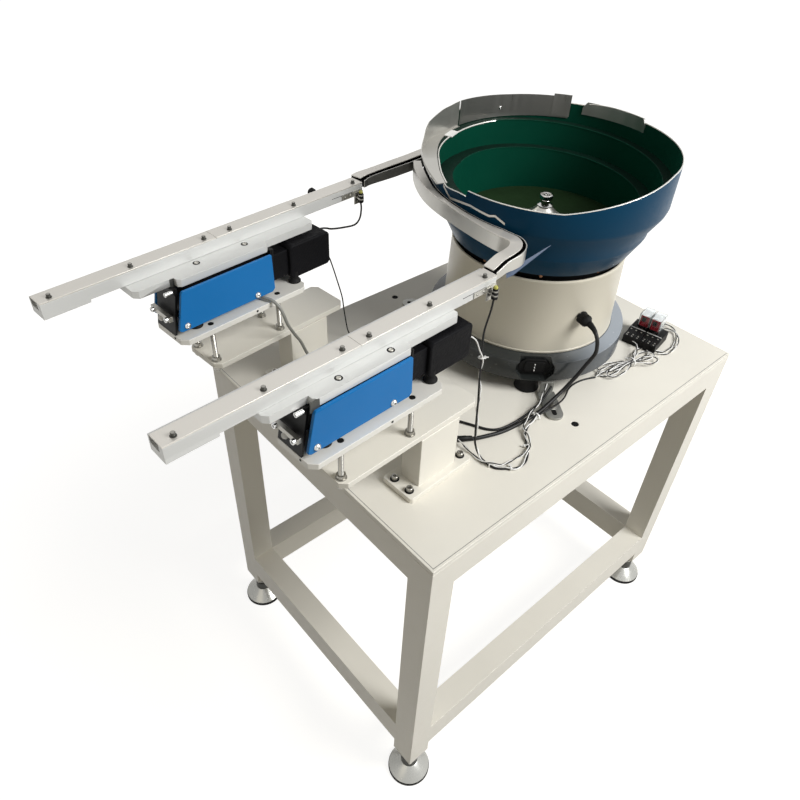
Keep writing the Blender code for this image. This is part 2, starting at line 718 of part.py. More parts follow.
def bed_plate(tag, line):
    half = PLATE_WIDTH / 2
    low, high = BED_BOTTOM, BED_BOTTOM + BED_THICK
    plate = prism(chamfered(BED_FROM, BED_TO, -half, half, 0.012), low, high)
    holes = [cylinder(STUD_RADIUS + 0.0007, low - 0.01, high + 0.01, (x, y, 0), 12) for x, y in studs()]
    return node(f"{tag}_bed_plate", plate, ALUMINIUM, line, cut=holes)


def drive_body(tag, line):
    near = HOUSING_NEAR + HOUSING_SHEET + SLIDE_GAP
    far = HOUSING_NEAR + HOUSING_WIDTH - HOUSING_SHEET - SLIDE_GAP
    block = box((BLOCK_FROM, BLOCK_TO), (near, far), (HOUSING_BOTTOM + 0.006, HOUSING_TOP - 0.006))
    link = box((BLOCK_TO - 0.01, BOX_FROM + 0.02), (near + 0.010, far - 0.010), (HOUSING_BOTTOM + 0.012, LINK_TOP))
    outline = chamfered(BOX_FROM, BOX_TO, BOX_BOTTOM, BOX_TOP, 0.007)
    housing = prism(outline, near + 0.002, far - 0.002, "y")
    bed = BED_BOTTOM + BED_THICK + SEAT
    feet = []
    for x, high in ((-0.090, HOUSING_BOTTOM + 0.010), (0.136, BOX_BOTTOM + 0.004)):
        for y in (near + 0.010, far - 0.010):
            profile = [
                (0, bed), (0.0125, bed), (0.0130, bed + 0.002), (0.0130, bed + 0.006), (0.0085, bed + 0.0095),
                (0.0085, high), (0, high),
            ]
            feet.append(turned(profile, 10, (x, y, 0)))
    return node(f"{tag}_drive_body", block, BLACK, line, join=[link, housing] + feet)


def housing(tag, line):
    outline = [
        (-0.133, HOUSING_BOTTOM + 0.004), (-0.127, HOUSING_BOTTOM), (0.079, HOUSING_BOTTOM),
        (0.085, HOUSING_BOTTOM + 0.006), (0.083, HOUSING_TOP - 0.001), (0.082, HOUSING_TOP), (-0.114, HOUSING_TOP),
        (-0.117, HOUSING_TOP - 0.003),
    ]
    near = HOUSING_NEAR
    far = HOUSING_NEAR + HOUSING_WIDTH
    plate = prism(outline, near, near + HOUSING_SHEET, "y")
    other = prism(outline, far - HOUSING_SHEET, far, "y")
    web = box((-0.072, 0.066), (near + 0.002, far - 0.002), (HOUSING_BOTTOM + 0.001, HOUSING_BOTTOM + 0.004))
    return node(f"{tag}_housing", plate, BLUE, line, join=[other, web])


def leaf_spring(name, foot_x, lean, low, line):
    """An inclined leaf with a clamp bar at its top end, both hung under the adapter."""
    near = HOUSING_NEAR + HOUSING_SHEET + 0.008
    far = HOUSING_NEAR + HOUSING_WIDTH - HOUSING_SHEET - 0.008
    high = ADAPTER_BOTTOM - SEAT
    top_x = foot_x + lean
    outline = [(foot_x, low), (foot_x + 0.004, low), (top_x + 0.004, high), (top_x, high)]
    bar = [(top_x - 0.004, high - 0.012), (top_x + 0.002, high - 0.012), (top_x + 0.002, high), (top_x - 0.004, high)]
    leaf = prism(outline, near, far, "y")
    clamp = prism(bar, near + 0.001, far - 0.001, "y")
    return node(name, leaf, STEEL, line, join=[clamp])


def adapter(tag, line, shift, edge):
    near, far = ADAPTER_NEAR + edge, ADAPTER_FAR + shift
    outline = [
        (-0.188, near + 0.024), (-0.180, near + 0.015), (-0.112, near + 0.015), (-0.112, near + 0.006),
        (-0.106, near), (0.082, near), (0.088, near + 0.006), (0.088, near + 0.014), (0.206, near + 0.014),
        (0.214, near + 0.022), (0.214, far - 0.008), (0.206, far), (-0.180, far), (-0.188, far - 0.008),
    ]
    plate = prism(outline, ADAPTER_BOTTOM, ADAPTER_BOTTOM + ADAPTER_THICK)
    holes = []
    for x in (-0.053, 0.054):
        spot = (x, ADAPTER_NEAR + shift + 0.017, 0)
        holes.append(cylinder(0.0048, ADAPTER_BOTTOM + 0.007, ADAPTER_BOTTOM + 0.03, spot, 16))
    return node(f"{tag}_adapter", plate, ALUMINIUM, line, cut=holes)


def rail(tag, line, shift, rail_to):
    near, far = shift, shift + RAIL_WIDTH
    low = ADAPTER_BOTTOM + ADAPTER_THICK + SEAT
    high = low + RAIL_HEIGHT
    body = box((RAIL_FROM, rail_to), (near, far), (low, high))
    step = box((RAIL_FROM, RAIL_STEP_TO), (near, far), (low - RAIL_STEP, low + 0.004))
    slot = box((RAIL_FROM - 0.01, rail_to + 0.01), (near + 0.011, far - 0.004), (low + 0.009, high + 0.01))
    return node(f"{tag}_rail", body, ALUMINIUM, line, join=[step], cut=[slot])


def rail_cover(tag, line, shift, rail_to):
    low = ADAPTER_BOTTOM + ADAPTER_THICK + RAIL_HEIGHT + 2 * SEAT
    sheet = box((RAIL_FROM, rail_to), (shift, shift + RAIL_WIDTH - RAIL_LIP), (low, low + 0.0028))
    return node(f"{tag}_rail_cover", sheet, STEEL, line)


def sensor(tag, line, shift, rail_to):
    face = shift - SEAT
    low = ADAPTER_BOTTOM + ADAPTER_THICK + SEAT
    strip = box((rail_to - 0.060, rail_to - 0.002), (face - 0.003, face), (low + 0.002, low + 0.013))
    tab = box((rail_to - 0.026, rail_to - 0.002), (face - 0.006, face - 0.0005), (low - 0.016, low + 0.010))
    body = box((rail_to - 0.022, rail_to - 0.008), (face - 0.018, face - 0.004), (low - 0.012, low + 0.012))
    tip = cylinder(0.0045, low + 0.010, low + 0.016, (rail_to - 0.015, face - 0.012, 0), 12)
    return node(f"{tag}_sensor", strip, BLACK, line, join=[tab, body, tip])


def linear_track(spec, root):
    tag, shift, rail_to = spec["tag"], spec["shift"], spec["rail_to"]
    line = empty(f"{tag}_line", (0.0, spec["y"], TOP), spec["yaw"], root)
    pillar(tag, line)
    stand_plate(tag, line)
    bed_plate(tag, line)
    drive_body(tag, line)
    housing(tag, line)
    leaf_spring(f"{tag}_spring_front", -0.1365, 0.0165, BED_BOTTOM + BED_THICK + SEAT, line)
    leaf_spring(f"{tag}_spring_rear", 0.0900, 0.0045, LINK_TOP + SEAT, line)
    adapter(tag, line, shift, spec["edge"])
    rail(tag, line, shift, rail_to)
    rail_cover(tag, line, shift, rail_to)
    sensor(tag, line, shift, rail_to)
    return line


def amplifier(number, x, y, turn, root):
    spot = empty(f"amplifier_{number}_spot", (x, y, TOP), turn, root)
    length, width, height = AMPLIFIER
    body = box((-length / 2, length / 2), (-width / 2, width / 2), (SEAT, height - 0.010))
    nose = box((length / 2 - 0.004, length / 2 + 0.008), (-width / 4, width / 4), (0.008, 0.016))
    node(f"amplifier_{number}", body, BLACK, spot, join=[nose])
    low = height - 0.010 + SEAT
    front = length / 2 - AMPLIFIER_COVER_LENGTH
    lid = box((front, length / 2), (-width / 2, width / 2), (low, height))
    wall = 0.001
    hollow = box((front + wall, length / 2 - wall), (-width / 2 + wall, width / 2 - wall), (low - 0.01, height - wall))
    node(f"amplifier_{number}_cover", lid, CLEAR, spot, cut=[hollow])


def smooth_path(points, spacing):
    """Points a spacing apart on a smooth curve through the given ones."""
    knots = [Vector(p) for p in points]
    knots = [2 * knots[0] - knots[1]] + knots + [2 * knots[-1] - knots[-2]]
    fine = []
    for a, b, c, d in zip(knots, knots[1:], knots[2:], knots[3:]):
        for i in range(24):
            t = i / 24
            fine.append(
                0.5 * (2 * b + (c - a) * t + (2 * a - 5 * b + 4 * c - d) * t**2 + (3 * b - a - 3 * c + d) * t**3)
            )
    fine.append(knots[-2])
    total = sum((q - p).length for p, q in zip(fine, fine[1:]))
    count = max(3, round(total / spacing))
    path = [fine[0]]
    walked = 0.0
    for p, q in zip(fine, fine[1:]):
        step = (q - p).length
        while len(path) < count and walked + step >= total * len(path) / count:
            path.append(p + (q - p) * ((total * len(path) / count - walked) / max(step, 1e-9)))
        walked += step
    path.append(fine[-1])
    return path


def cord(name, points, diameter, spec, root, spacing=2.6):
    path = smooth_path(points, diameter * spacing)
    curve = bpy.data.curves.new(name, "CURVE")
    curve.dimensions = "3D"
    curve.bevel_depth = diameter / 2
    curve.bevel_resolution = 2 if diameter < 0.006 else 3
    curve.use_fill_caps = True
    spline = curve.splines.new("POLY")
    spline.points.add(len(path) - 1)
    for point, spot in zip(spline.points, path):
        point.co = (spot.x, spot.y, spot.z, 1.0)
    curve.materials.append(material(spec))
    obj = bpy.data.objects.new(name, curve)
    bpy.context.scene.collection.objects.link(obj)
    obj.parent = root
    return obj


def on_table(x, y, height=0.0):
    return (x, y, TOP + height)


def on_track(index, x, y, z):
    spec = TRACKS[index]
    yaw = math.radians(spec["yaw"])
    return (x * math.cos(yaw) - y * math.sin(yaw), spec["y"] + x * math.sin(yaw) + y * math.cos(yaw), TOP + z)


def drive_cable(root):
    a = math.radians(GLAND_ANGLE)
    out = (math.cos(a), math.sin(a))
    start = (CASING_RADIUS + CASING_TOP_RADIUS) / 2 + 0.0012 + 0.030
    flat = DRIVE_CABLE_D / 2 + SEAT

    def beyond(distance, height):
        return on_table(AXIS[0] + (start + distance) * out[0], AXIS[1] + (start + distance) * out[1], height)

    points = [beyond(SLIDE_GAP, GLAND_LIFT), beyond(0.016, GLAND_LIFT - 0.0015), beyond(0.030, GLAND_LIFT - 0.018)]
    points += [on_table(0.570, 0.127, 0.105), on_table(0.555, 0.128, 0.064), on_table(0.530, 0.132, 0.040)]
    points += [on_table(0.497, 0.139, 0.029), on_table(0.462, 0.148, 0.011), on_table(0.435, 0.156, flat)]
    points += [on_table(0.400, 0.166, flat)]
    points += [on_table(0.340, 0.188, flat), on_table(0.290, 0.205, flat), on_table(0.252, 0.196, flat)]
    return cord("drive_cable", points, DRIVE_CABLE_D, CORD, root, 2.0)


def near_sensor_lead(root):
    spec = TRACKS[0]
    x = spec["rail_to"] - 0.015
    low = ADAPTER_BOTTOM + ADAPTER_THICK + SEAT - 0.012
    flat = LEAD_D / 2 + SEAT
    points = [on_track(0, x, -0.0113, low - SEAT), on_track(0, x + 0.001, -0.014, low - 0.022)]
    points += [on_track(0, x - 0.002, -0.026, 0.250), on_track(0, x - 0.010, -0.044, 0.150)]
    points += [on_table(0.298, 0.160, 0.050), on_table(0.300, 0.146, 0.016), on_table(0.292, 0.122, flat + 0.0014)]
    points += [on_table(0.279, 0.104, flat), on_table(0.290, 0.088, flat), on_table(0.322, 0.080, flat)]
    points += [on_table(0.374, 0.080, flat), on_table(0.430, 0.090, flat), on_table(0.500, 0.112, flat)]
    points += [on_table(0.580, 0.134, flat), on_table(0.628, 0.146, 0.006)]
    return cord("near_sensor_lead", points, LEAD_D, CORD, root, 3.0)


def near_box_lead(root):
    points = [on_track(0, BOX_TO + 2 * SEAT, -0.012, 0.274), on_track(0, 0.232, -0.016, 0.272)]
    points += [on_track(0, 0.250, -0.024, 0.252), on_track(0, 0.262, -0.032, 0.220)]
    points += [on_track(0, 0.268, -0.042, 0.180), on_track(0, 0.272, -0.052, 0.120)]
    return cord("near_box_lead", points, THIN_LEAD_D, PALE_CORD, root, 3.0)


def far_sensor_lead(root):
    spec = TRACKS[1]
    shift = spec["shift"]
    x = spec["rail_to"] - 0.015
    low = ADAPTER_BOTTOM + ADAPTER_THICK + SEAT - 0.012
    points = [on_track(1, x, shift - 0.0113, low - SEAT), on_track(1, x + 0.001, shift - 0.012, low - 0.014)]
    points += [on_track(1, x - 0.006, shift - 0.015, low - 0.033), on_track(1, x - 0.024, shift - 0.018, low - 0.042)]
    points += [on_track(1, x - 0.060, shift - 0.020, low - 0.036), on_track(1, x - 0.095, shift - 0.018, 0.292)]
    points += [on_track(1, 0.244, -0.004, 0.284), on_track(1, 0.217, 0.004, 0.278)]
    return cord("far_sensor_lead", points, LEAD_D, CORD, root, 3.0)


def far_drive_cable(root):
    points = [on_track(1, 0.054, -0.030, 0.2345), on_track(1, 0.062, -0.048, 0.2343)]
    points += [on_track(1, 0.069, -0.061, 0.2220), on_track(1, 0.076, -0.067, 0.200)]
    points += [on_track(1, 0.088, -0.072, 0.172), on_track(1, 0.104, -0.078, 0.130)]
    points += [on_track(1, 0.120, -0.082, 0.080), on_track(1, 0.133, -0.084, 0.036)]
    points += [on_track(1, 0.146, -0.084, 0.008), on_track(1, 0.175, -0.083, 0.0038)]
    points += [on_track(1, 0.215, -0.080, 0.0036)]
    return cord("far_drive_cable", points, TRACK_CABLE_D, PALE_CORD, root, 1.8)


def hank(root):
    dx, dy = HANK_TO[0] - HANK_FROM[0], HANK_TO[1] - HANK_FROM[1]
    length = math.hypot(dx, dy)
    turn = math.degrees(math.atan2(dy, dx))
    half = HANK_WIDTH / 2
    left = [(half * math.cos(math.radians(a)), half * math.sin(math.radians(a))) for a in range(90, 271, 18)]
    right = [(length + half * math.cos(math.radians(a)), half * math.sin(math.radians(a))) for a in range(-90, 91, 18)]
    shape = placed(prism(left + right, SEAT, HANK_HEIGHT), on_table(*HANK_FROM), turn)
    return node("hank", shape, PALE_CORD, root)


def build():
    clear_scene()
    root = empty("machine", (-X_MID, -Y_MID, 0.0))
    table_frame(root)
    table_top(root)
    spots = [(x, y) for x in (TUBE / 2, TABLE_LENGTH - TUBE / 2) for y in (TUBE / 2, TABLE_DEPTH - TUBE / 2)]
    for number, (x, y) in enumerate(spots, 1):
        levelling_foot(number, x, y, root)
    centre = empty("bowl_axis", (AXIS[0], AXIS[1], TOP), 0.0, root)
    drive_base(centre)
    for number, (support, clamp) in enumerate(zip(SUPPORT_ANGLES, CLAMP_ANGLES), 1):
        drive_support(number, support, centre)
        drive_clamp(number, clamp, centre)
    for piece in (casing, gland, coil, drive_top, bowl, bowl_cone, bowl_nut, guard_back, guard_left, return_plate):
        piece(centre)
    chute("chute_1", chute_1_path(), centre)
    chute("chute_2", chute_2_path(), centre)
    for spec in TRACKS:
        linear_track(spec, root)
    for number, (x, y, turn) in enumerate(AMPLIFIER_SPOTS, 1):
        amplifier(number, x, y, turn, root)
    hank(root)
    drive_cable(root)
    near_sensor_lead(root)
    near_box_lead(root)
    far_sensor_lead(root)
    far_drive_cable(root)


build()
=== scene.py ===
"""Looks of the vibratory bowl feeder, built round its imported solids. Metres, +Z up."""

import math

import bmesh
import bpy
from mathutils import Matrix, Vector


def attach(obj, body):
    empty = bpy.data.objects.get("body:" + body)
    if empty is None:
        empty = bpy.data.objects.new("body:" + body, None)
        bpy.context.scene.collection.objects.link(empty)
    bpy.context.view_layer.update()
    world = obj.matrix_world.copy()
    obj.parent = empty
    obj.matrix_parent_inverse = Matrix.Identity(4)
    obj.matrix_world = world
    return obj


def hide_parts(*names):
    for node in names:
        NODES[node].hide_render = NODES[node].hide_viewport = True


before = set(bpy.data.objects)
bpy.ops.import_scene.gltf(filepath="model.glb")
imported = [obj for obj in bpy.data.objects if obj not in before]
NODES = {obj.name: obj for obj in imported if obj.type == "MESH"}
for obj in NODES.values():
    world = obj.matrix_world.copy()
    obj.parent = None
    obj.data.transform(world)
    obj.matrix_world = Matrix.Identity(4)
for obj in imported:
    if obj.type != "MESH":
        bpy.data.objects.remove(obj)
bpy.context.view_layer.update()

X_MID, Y_MID, TOP = 0.343799, 0.369, 0.901
AXIS = Vector((0.650 - X_MID, 0.374 - Y_MID, TOP))
TRACKS = (
    {"tag": "near", "y": 0.2015, "yaw": 2.42, "rail_to": 0.323, "shift": 0.0},
    {"tag": "far", "y": 0.6070, "yaw": 4.80, "rail_to": 0.378, "shift": 0.0215},
)
TABLE, BOWL = "table", "bowl unit"


def camera():
    yaw, pitch, roll = (math.radians(a) for a in (43.295, -40.944, 3.133))
    ahead = Vector((math.sin(yaw) * math.cos(pitch), math.cos(yaw) * math.cos(pitch), math.sin(pitch)))
    right = ahead.cross(Vector((0, 0, 1))).normalized()
    up = right.cross(ahead)
    across = math.cos(roll) * right + math.sin(roll) * up
    high = math.cos(roll) * up - math.sin(roll) * right
    data = bpy.data.cameras.new("camera")
    data.sensor_width = 36.0
    data.lens = 694.24 / 800 * 36.0
    data.clip_start, data.clip_end = 0.05, 60.0
    obj = bpy.data.objects.new("camera", data)
    bpy.context.scene.collection.objects.link(obj)
    turn = Matrix((across, high, -ahead)).transposed().to_4x4()
    obj.matrix_world = Matrix.Translation((-0.5337 - X_MID, -0.4607 - Y_MID, 1.8954)) @ turn
    bpy.context.scene.camera = obj


# ---------------------------------------------------------------- materials


def link(tree, a, out, b, into):
    tree.links.new(a.outputs[out], b.inputs[into])


def add(tree, kind, **values):
    made = tree.nodes.new("ShaderNode" + kind)
    for key, value in values.items():
        if key in made.inputs:
            made.inputs[key].default_value = value
        else:
            setattr(made, key, value)
    return made


def spread(tree, source, low, high):
    """The source's middle values spread from low to high."""
    ramp = add(tree, "MapRange")
    for slot, value in zip(range(1, 5), (0.3, 0.7, low, high)):
        ramp.inputs[slot].default_value = value
    link(tree, source, 0, ramp, 0)
    return ramp


def finish(
    name, colour, metallic=0.0, rough=0.4, tone=0.05, tone_scale=5.0, grain=0.06, grain_scale=70.0,
    bump=0.15, bump_scale=260.0, depth=0.0003, stretch=(1, 1, 1), turn=0.0, spec=0.5, coat=0.0, glow=None,
):
    """A surface whose colour, gloss and relief all vary through noise in the object's own space."""
    made = bpy.data.materials.new(name)
    made.use_nodes = True
    made.diffuse_color = (*colour, 1.0)
    tree = made.node_tree
    shader = tree.nodes["Principled BSDF"]
    shader.inputs["Metallic"].default_value = metallic
    shader.inputs["Specular IOR Level"].default_value = spec
    shader.inputs["Coat Weight"].default_value = coat
    if coat:
        shader.inputs["Coat Roughness"].default_value = 0.12
    if glow:
        shader.inputs["Emission Color"].default_value = (*glow, 1.0)
        shader.inputs["Emission Strength"].default_value = 0.6
    place = add(tree, "TexCoord")
    mapping = add(tree, "Mapping", vector_type="TEXTURE")
    mapping.inputs["Rotation"].default_value = (0, 0, math.radians(turn))
    mapping.inputs["Scale"].default_value = stretch
    link(tree, place, "Object", mapping, "Vector")
    broad = add(tree, "TexNoise", Scale=tone_scale, Detail=3.0)
    fine = add(tree, "TexNoise", Scale=grain_scale, Detail=4.0)
    relief = add(tree, "TexNoise", Scale=bump_scale, Detail=3.0)
    for noise in (broad, fine, relief):
        link(tree, mapping, 0, noise, "Vector")
    mix = add(tree, "Mix", data_type="RGBA")
    mix.inputs[6].default_value = (*[max(0.0, c * (1 - tone)) for c in colour], 1.0)
    mix.inputs[7].default_value = (*[min(1.0, c * (1 + tone)) for c in colour], 1.0)
    link(tree, spread(tree, broad, 0.0, 1.0), 0, mix, 0)
    tree.links.new(mix.outputs[2], shader.inputs["Base Color"])
    link(tree, spread(tree, fine, max(0.02, rough - grain), min(1.0, rough + grain)), 0, shader, "Roughness")
    height = add(tree, "Bump", Strength=bump, Distance=depth)
    link(tree, relief, 0, height, "Height")
    link(tree, height, 0, shader, "Normal")
    return made


def painted_light_ramp(name, dark, light, **values):
    """Painted light and shade: a paint that turns from dark to light towards +X, standing for the base in shade on one
    side and lit on the other.
    """
    made = finish(name, dark, **values)
    tree = made.node_tree
    shader = tree.nodes["Principled BSDF"]
    mix = shader.inputs["Base Color"].links[0].from_node
    place = add(tree, "TexCoord")
    apart = add(tree, "SeparateXYZ")
    link(tree, place, "Object", apart, 0)
    ramp = add(tree, "MapRange", interpolation_type="SMOOTHSTEP")
    for slot, value in zip(range(1, 5), (0.17, 0.36, 0.0, 1.0)):
        ramp.inputs[slot].default_value = value
    link(tree, apart, "X", ramp, 0)
    both = add(tree, "Mix", data_type="RGBA")
    both.inputs[7].default_value = (*light, 1.0)
    link(tree, ramp, 0, both, 0)
    tree.links.new(mix.outputs[2], both.inputs[6])
    tree.links.new(both.outputs[2], shader.inputs["Base Color"])
    return made


def clear(name):
    made = finish(name, (0.93, 0.95, 0.96), rough=0.06, tone=0.01, grain=0.03, bump=0.05)
    shader = made.node_tree.nodes["Principled BSDF"]
    shader.inputs["Transmission Weight"].default_value = 1.0
    shader.inputs["IOR"].default_value = 1.25
    return made


M = {
    "cream": finish("cream_powder", (0.80, 0.772, 0.690), rough=0.42, tone=0.025, bump=0.35, bump_scale=420, depth=0.0002),
    "casing": finish("casing_enamel", (0.66, 0.62, 0.515), rough=0.36, tone=0.012, tone_scale=2.0, grain=0.03, bump=0.06, bump_scale=300, spec=0.35),
    # The base paint carries painted shade towards -X and painted light towards +X.
    "base": painted_light_ramp("base_enamel_painted_light", (0.021, 0.024, 0.023), (0.090, 0.103, 0.118), rough=0.24, tone=0.06, grain=0.04, bump=0.06, bump_scale=300, spec=0.45),
    # A lighter copy of the base paint for the top ring: a painted sheen, over the same painted shade and light.
    "painted_sheen_ring": painted_light_ramp("base_ring_painted_sheen", (0.028, 0.031, 0.030), (0.270, 0.300, 0.335), rough=0.24, tone=0.04, grain=0.04, bump=0.06, bump_scale=300, spec=0.45),
    "navy": finish("bowl_enamel", (0.002, 0.042, 0.092), rough=0.34, tone=0.05, grain=0.04, bump=0.03, bump_scale=60, spec=0.07),
    "green": finish("green_lining", (0.001, 0.044, 0.025), rough=0.46, tone=0.10, grain=0.05, bump=0.12, bump_scale=90, spec=0.08),
    "olive": finish("floor_lining", (0.012, 0.028, 0.010), rough=0.6, tone=0.2, tone_scale=14, bump=0.2, bump_scale=140, spec=0.08),
    "tier": finish("tier_lining", (0.003, 0.016, 0.010), rough=0.6, tone=0.2, tone_scale=20, bump=0.2, bump_scale=140, spec=0.08),
    "blue": finish("blue_anodised", (0.010, 0.160, 0.440), rough=0.36, tone=0.04, grain=0.04, bump=0.10, bump_scale=500, spec=0.15),
    "steel": finish("stainless_sheet", (0.50, 0.49, 0.455), 0.85, 0.34, tone=0.03, grain=0.03, stretch=(14, 1, 1), bump=0.02, spec=0.3),
    "collar": finish("collar_sheet", (0.42, 0.41, 0.385), 0.9, 0.30, tone=0.05, grain=0.03, stretch=(1, 1, 16), bump=0.02, spec=0.3),
    "cover": finish("brushed_cover", (0.68, 0.655, 0.605), 0.6, 0.40, tone=0.03, grain=0.03, stretch=(22, 1, 1), turn=3.0, bump=0.04, spec=0.3),
    "milled": finish("milled_aluminium", (0.64, 0.645, 0.63), 0.35, 0.45, tone=0.02, grain=0.03, stretch=(10, 1, 1), turn=3.0, bump=0.04, spec=0.25),
    "pale": finish("pale_plate", (0.77, 0.755, 0.70), rough=0.38, tone=0.03, bump=0.2, metallic=0.1),
    "chrome": finish("chrome_plate", (0.56, 0.56, 0.55), 1.0, 0.13, tone=0.03, grain=0.04, bump=0.02),
    "foot": finish("foot_plate", (0.52, 0.52, 0.49), 0.45, 0.26, tone=0.04, grain=0.03, bump=0.02, spec=0.3),
    "zinc": finish("bright_zinc", (0.33, 0.32, 0.29), 0.9, 0.30, tone=0.04, grain=0.04, bump=0.03),
    "clampsteel": finish("clamp_steel", (0.30, 0.30, 0.28), 0.6, 0.42, tone=0.05, grain=0.04, bump=0.05),
    "cast": finish("black_cast", (0.006, 0.006, 0.007), rough=0.50, tone=0.3, bump=0.9, bump_scale=240, depth=0.0012, spec=0.06),
    "black": finish("black_moulding", (0.008, 0.008, 0.008), rough=0.45, tone=0.2, bump=0.2, bump_scale=300, spec=0.14),
    "rubber": finish("black_rubber", (0.008, 0.008, 0.008), rough=0.62, tone=0.3, bump=0.3, bump_scale=200, spec=0.14),
    "jacket": finish("black_jacket", (0.008, 0.008, 0.008), rough=0.40, tone=0.2, bump=0.2, bump_scale=300, spec=0.25),
    "grey": finish("grey_jacket", (0.26, 0.26, 0.235), rough=0.42, tone=0.1, bump=0.2, bump_scale=300, spec=0.3),
    "white": finish("white_nylon", (0.82, 0.82, 0.80), rough=0.40, tone=0.04, bump=0.1),
    "lane": finish("white_lane", (0.72, 0.71, 0.67), rough=0.25, tone=0.05, metallic=0.4, bump=0.08),
    "yellow": finish("yellow_lens", (0.50, 0.48, 0.10), rough=0.3, tone=0.05),
    "red": finish("red_window", (0.22, 0.012, 0.020), rough=0.15, tone=0.1, coat=0.5),
    "brass": finish("copper_stud", (0.26, 0.135, 0.075), 0.6, 0.35, tone=0.1, bump=0.1, spec=0.2),
    "return": finish("return_paint", (0.045, 0.080, 0.150), rough=0.35, tone=0.1),
    "slate": finish("slate_steel", (0.075, 0.075, 0.068), 0.4, 0.40, tone=0.1, spec=0.3),
    # A near-black look that stands in for shade: painted shade in holes, slots, grooves, channels and the relays'
    # windows.
    "hollow": finish("dark_hollow", (0.008, 0.008, 0.008), rough=0.8, tone=0.2, spec=0.1),
    "glass": clear("clear_cover"),
}

# ---------------------------------------------------------------- shapes


def box(x, y, z):
    points = [(a, b, c) for c in z for b in y for a in x]
    return points, [(0, 2, 3, 1), (4, 5, 7, 6), (0, 1, 5, 4), (2, 6, 7, 3), (0, 4, 6, 2), (1, 3, 7, 5)]


def prism(outline, low, high, axis="z"):
    count = len(outline)
    turn = {"z": lambda u, v, w: (u, v, w), "y": lambda u, v, w: (u, w, v), "x": lambda u, v, w: (w, u, v)}[axis]
    points = [turn(u, v, w) for w in (low, high) for u, v in outline]
    faces = [tuple(range(count))[::-1], tuple(range(count, 2 * count))]
    faces += [(i, (i + 1) % count, count + (i + 1) % count, count + i) for i in range(count)]
    return points, faces


def turned(profile, steps=48, hexed=()):
    """A profile of (radius, height) turned about Z; the points numbered in hexed make six flats."""
    points, rows, faces = [], [], []
    for n, (radius, height) in enumerate(profile):
        if radius == 0:
            rows.append([len(points)] * steps)
            points.append((0, 0, height))
            continue
        rows.append(list(range(len(points), len(points) + steps)))
        for i in range(steps):
            a = 2 * math.pi * i / steps
            r = radius
            if n in hexed:
                r = radius * math.cos(math.pi / 6) / math.cos((a + math.pi / 6) % (math.pi / 3) - math.pi / 6)
            points.append((r * math.cos(a), r * math.sin(a), height))
    for a, b in zip(rows, rows[1:]):
        for i in range(steps):
            j = (i + 1) % steps
            corners = list(dict.fromkeys((a[i], a[j], b[j], b[i])))
            if len(corners) > 2:
                faces.append(tuple(corners))
    return points, faces


def chamfered(x0, x1, y0, y1, cut):
    return [
        (x0 + cut, y0), (x1 - cut, y0), (x1, y0 + cut), (x1, y1 - cut),
        (x1 - cut, y1), (x0 + cut, y1), (x0, y1 - cut), (x0, y0 + cut),
    ]


def band(inner, outer, low, high, start, end, steps=60, clip=0.0):
    """A curved strip about Z; its upper corners are cut off over clip degrees at both ends."""
    points, faces = [], []
    for i in range(steps + 1):
        a = start + (end - start) * i / steps
        edge = min(abs(a - start), abs(end - a))
        top = high if edge >= clip else high - (high - low) * 0.45 * (1 - edge / clip)
        c, s = math.cos(math.radians(a)), math.sin(math.radians(a))
        points += [(inner * c, inner * s, low), (outer * c, outer * s, low), (outer * c, outer * s, top), (inner * c, inner * s, top)]
    for i in range(steps):
        for j in range(4):
            k = (j + 1) % 4
            faces.append((4 * i + j, 4 * i + k, 4 * i + 4 + k, 4 * i + 4 + j))
    faces += [(3, 2, 1, 0), tuple(4 * steps + j for j in range(4))]
    return points, faces


def swept(path, sections):
    """One section of (left, height) per path point, closed by end caps."""
    points, count = [], len(sections[0])
    flat = [Vector((p[0], p[1])) for p in path]
    for i, here in enumerate(flat):
        way = (flat[min(i + 1, len(flat) - 1)] - flat[max(i - 1, 0)]).normalized()
        left = Vector((-way.y, way.x))
        points += [(*(here + left * side), height) for side, height in sections[i]]
    faces = [tuple(range(count)), tuple(range(len(points) - count, len(points)))[::-1]]
    for i in range(len(path) - 1):
        for j in range(count):
            k = (j + 1) % count
            faces.append((i * count + j, (i + 1) * count + j, (i + 1) * count + k, i * count + k))
    return points, faces


def smooth(points, spacing):
    """Points a spacing apart on a smooth curve through the given ones, of any dimension."""
    knots = [Vector(p) for p in points]
    knots = [2 * knots[0] - knots[1]] + knots + [2 * knots[-1] - knots[-2]]
    fine = []
    for a, b, c, d in zip(knots, knots[1:], knots[2:], knots[3:]):
        for i in range(24):
            t = i / 24
            fine.append(0.5 * (2 * b + (c - a) * t + (2 * a - 5 * b + 4 * c - d) * t**2 + (3 * b - a - 3 * c + d) * t**3))
    fine.append(knots[-2])
    total = sum((q - p).length for p, q in zip(fine, fine[1:]))
    count = max(3, round(total / spacing))
    path, walked = [fine[0]], 0.0
    for p, q in zip(fine, fine[1:]):
        step = (q - p).length
        while len(path) < count and walked + step >= total * len(path) / count:
            path.append(p + (q - p) * ((total * len(path) / count - walked) / max(step, 1e-9)))
        walked += step
    return path + [fine[-1]]


def tube(path, radii, steps=14):
    """A round body along a path, with one radius for each point."""
    points, faces = [], []
    side = None
    for i, here in enumerate(path):
        way = (path[min(i + 1, len(path) - 1)] - path[max(i - 1, 0)]).normalized()
        side = way.orthogonal().normalized() if side is None else (side - way * side.dot(way)).normalized()
        other = way.cross(side)
        for k in range(steps):
            a = 2 * math.pi * k / steps
            points.append(here + (side * math.cos(a) + other * math.sin(a)) * radii[i])
    for i in range(len(path) - 1):
        for k in range(steps):
            j = (k + 1) % steps
            faces.append((i * steps + k, i * steps + j, (i + 1) * steps + j, (i + 1) * steps + k))
    faces += [tuple(range(steps))[::-1], tuple(range(len(points) - steps, len(points)))]
    return [tuple(p) for p in points], faces


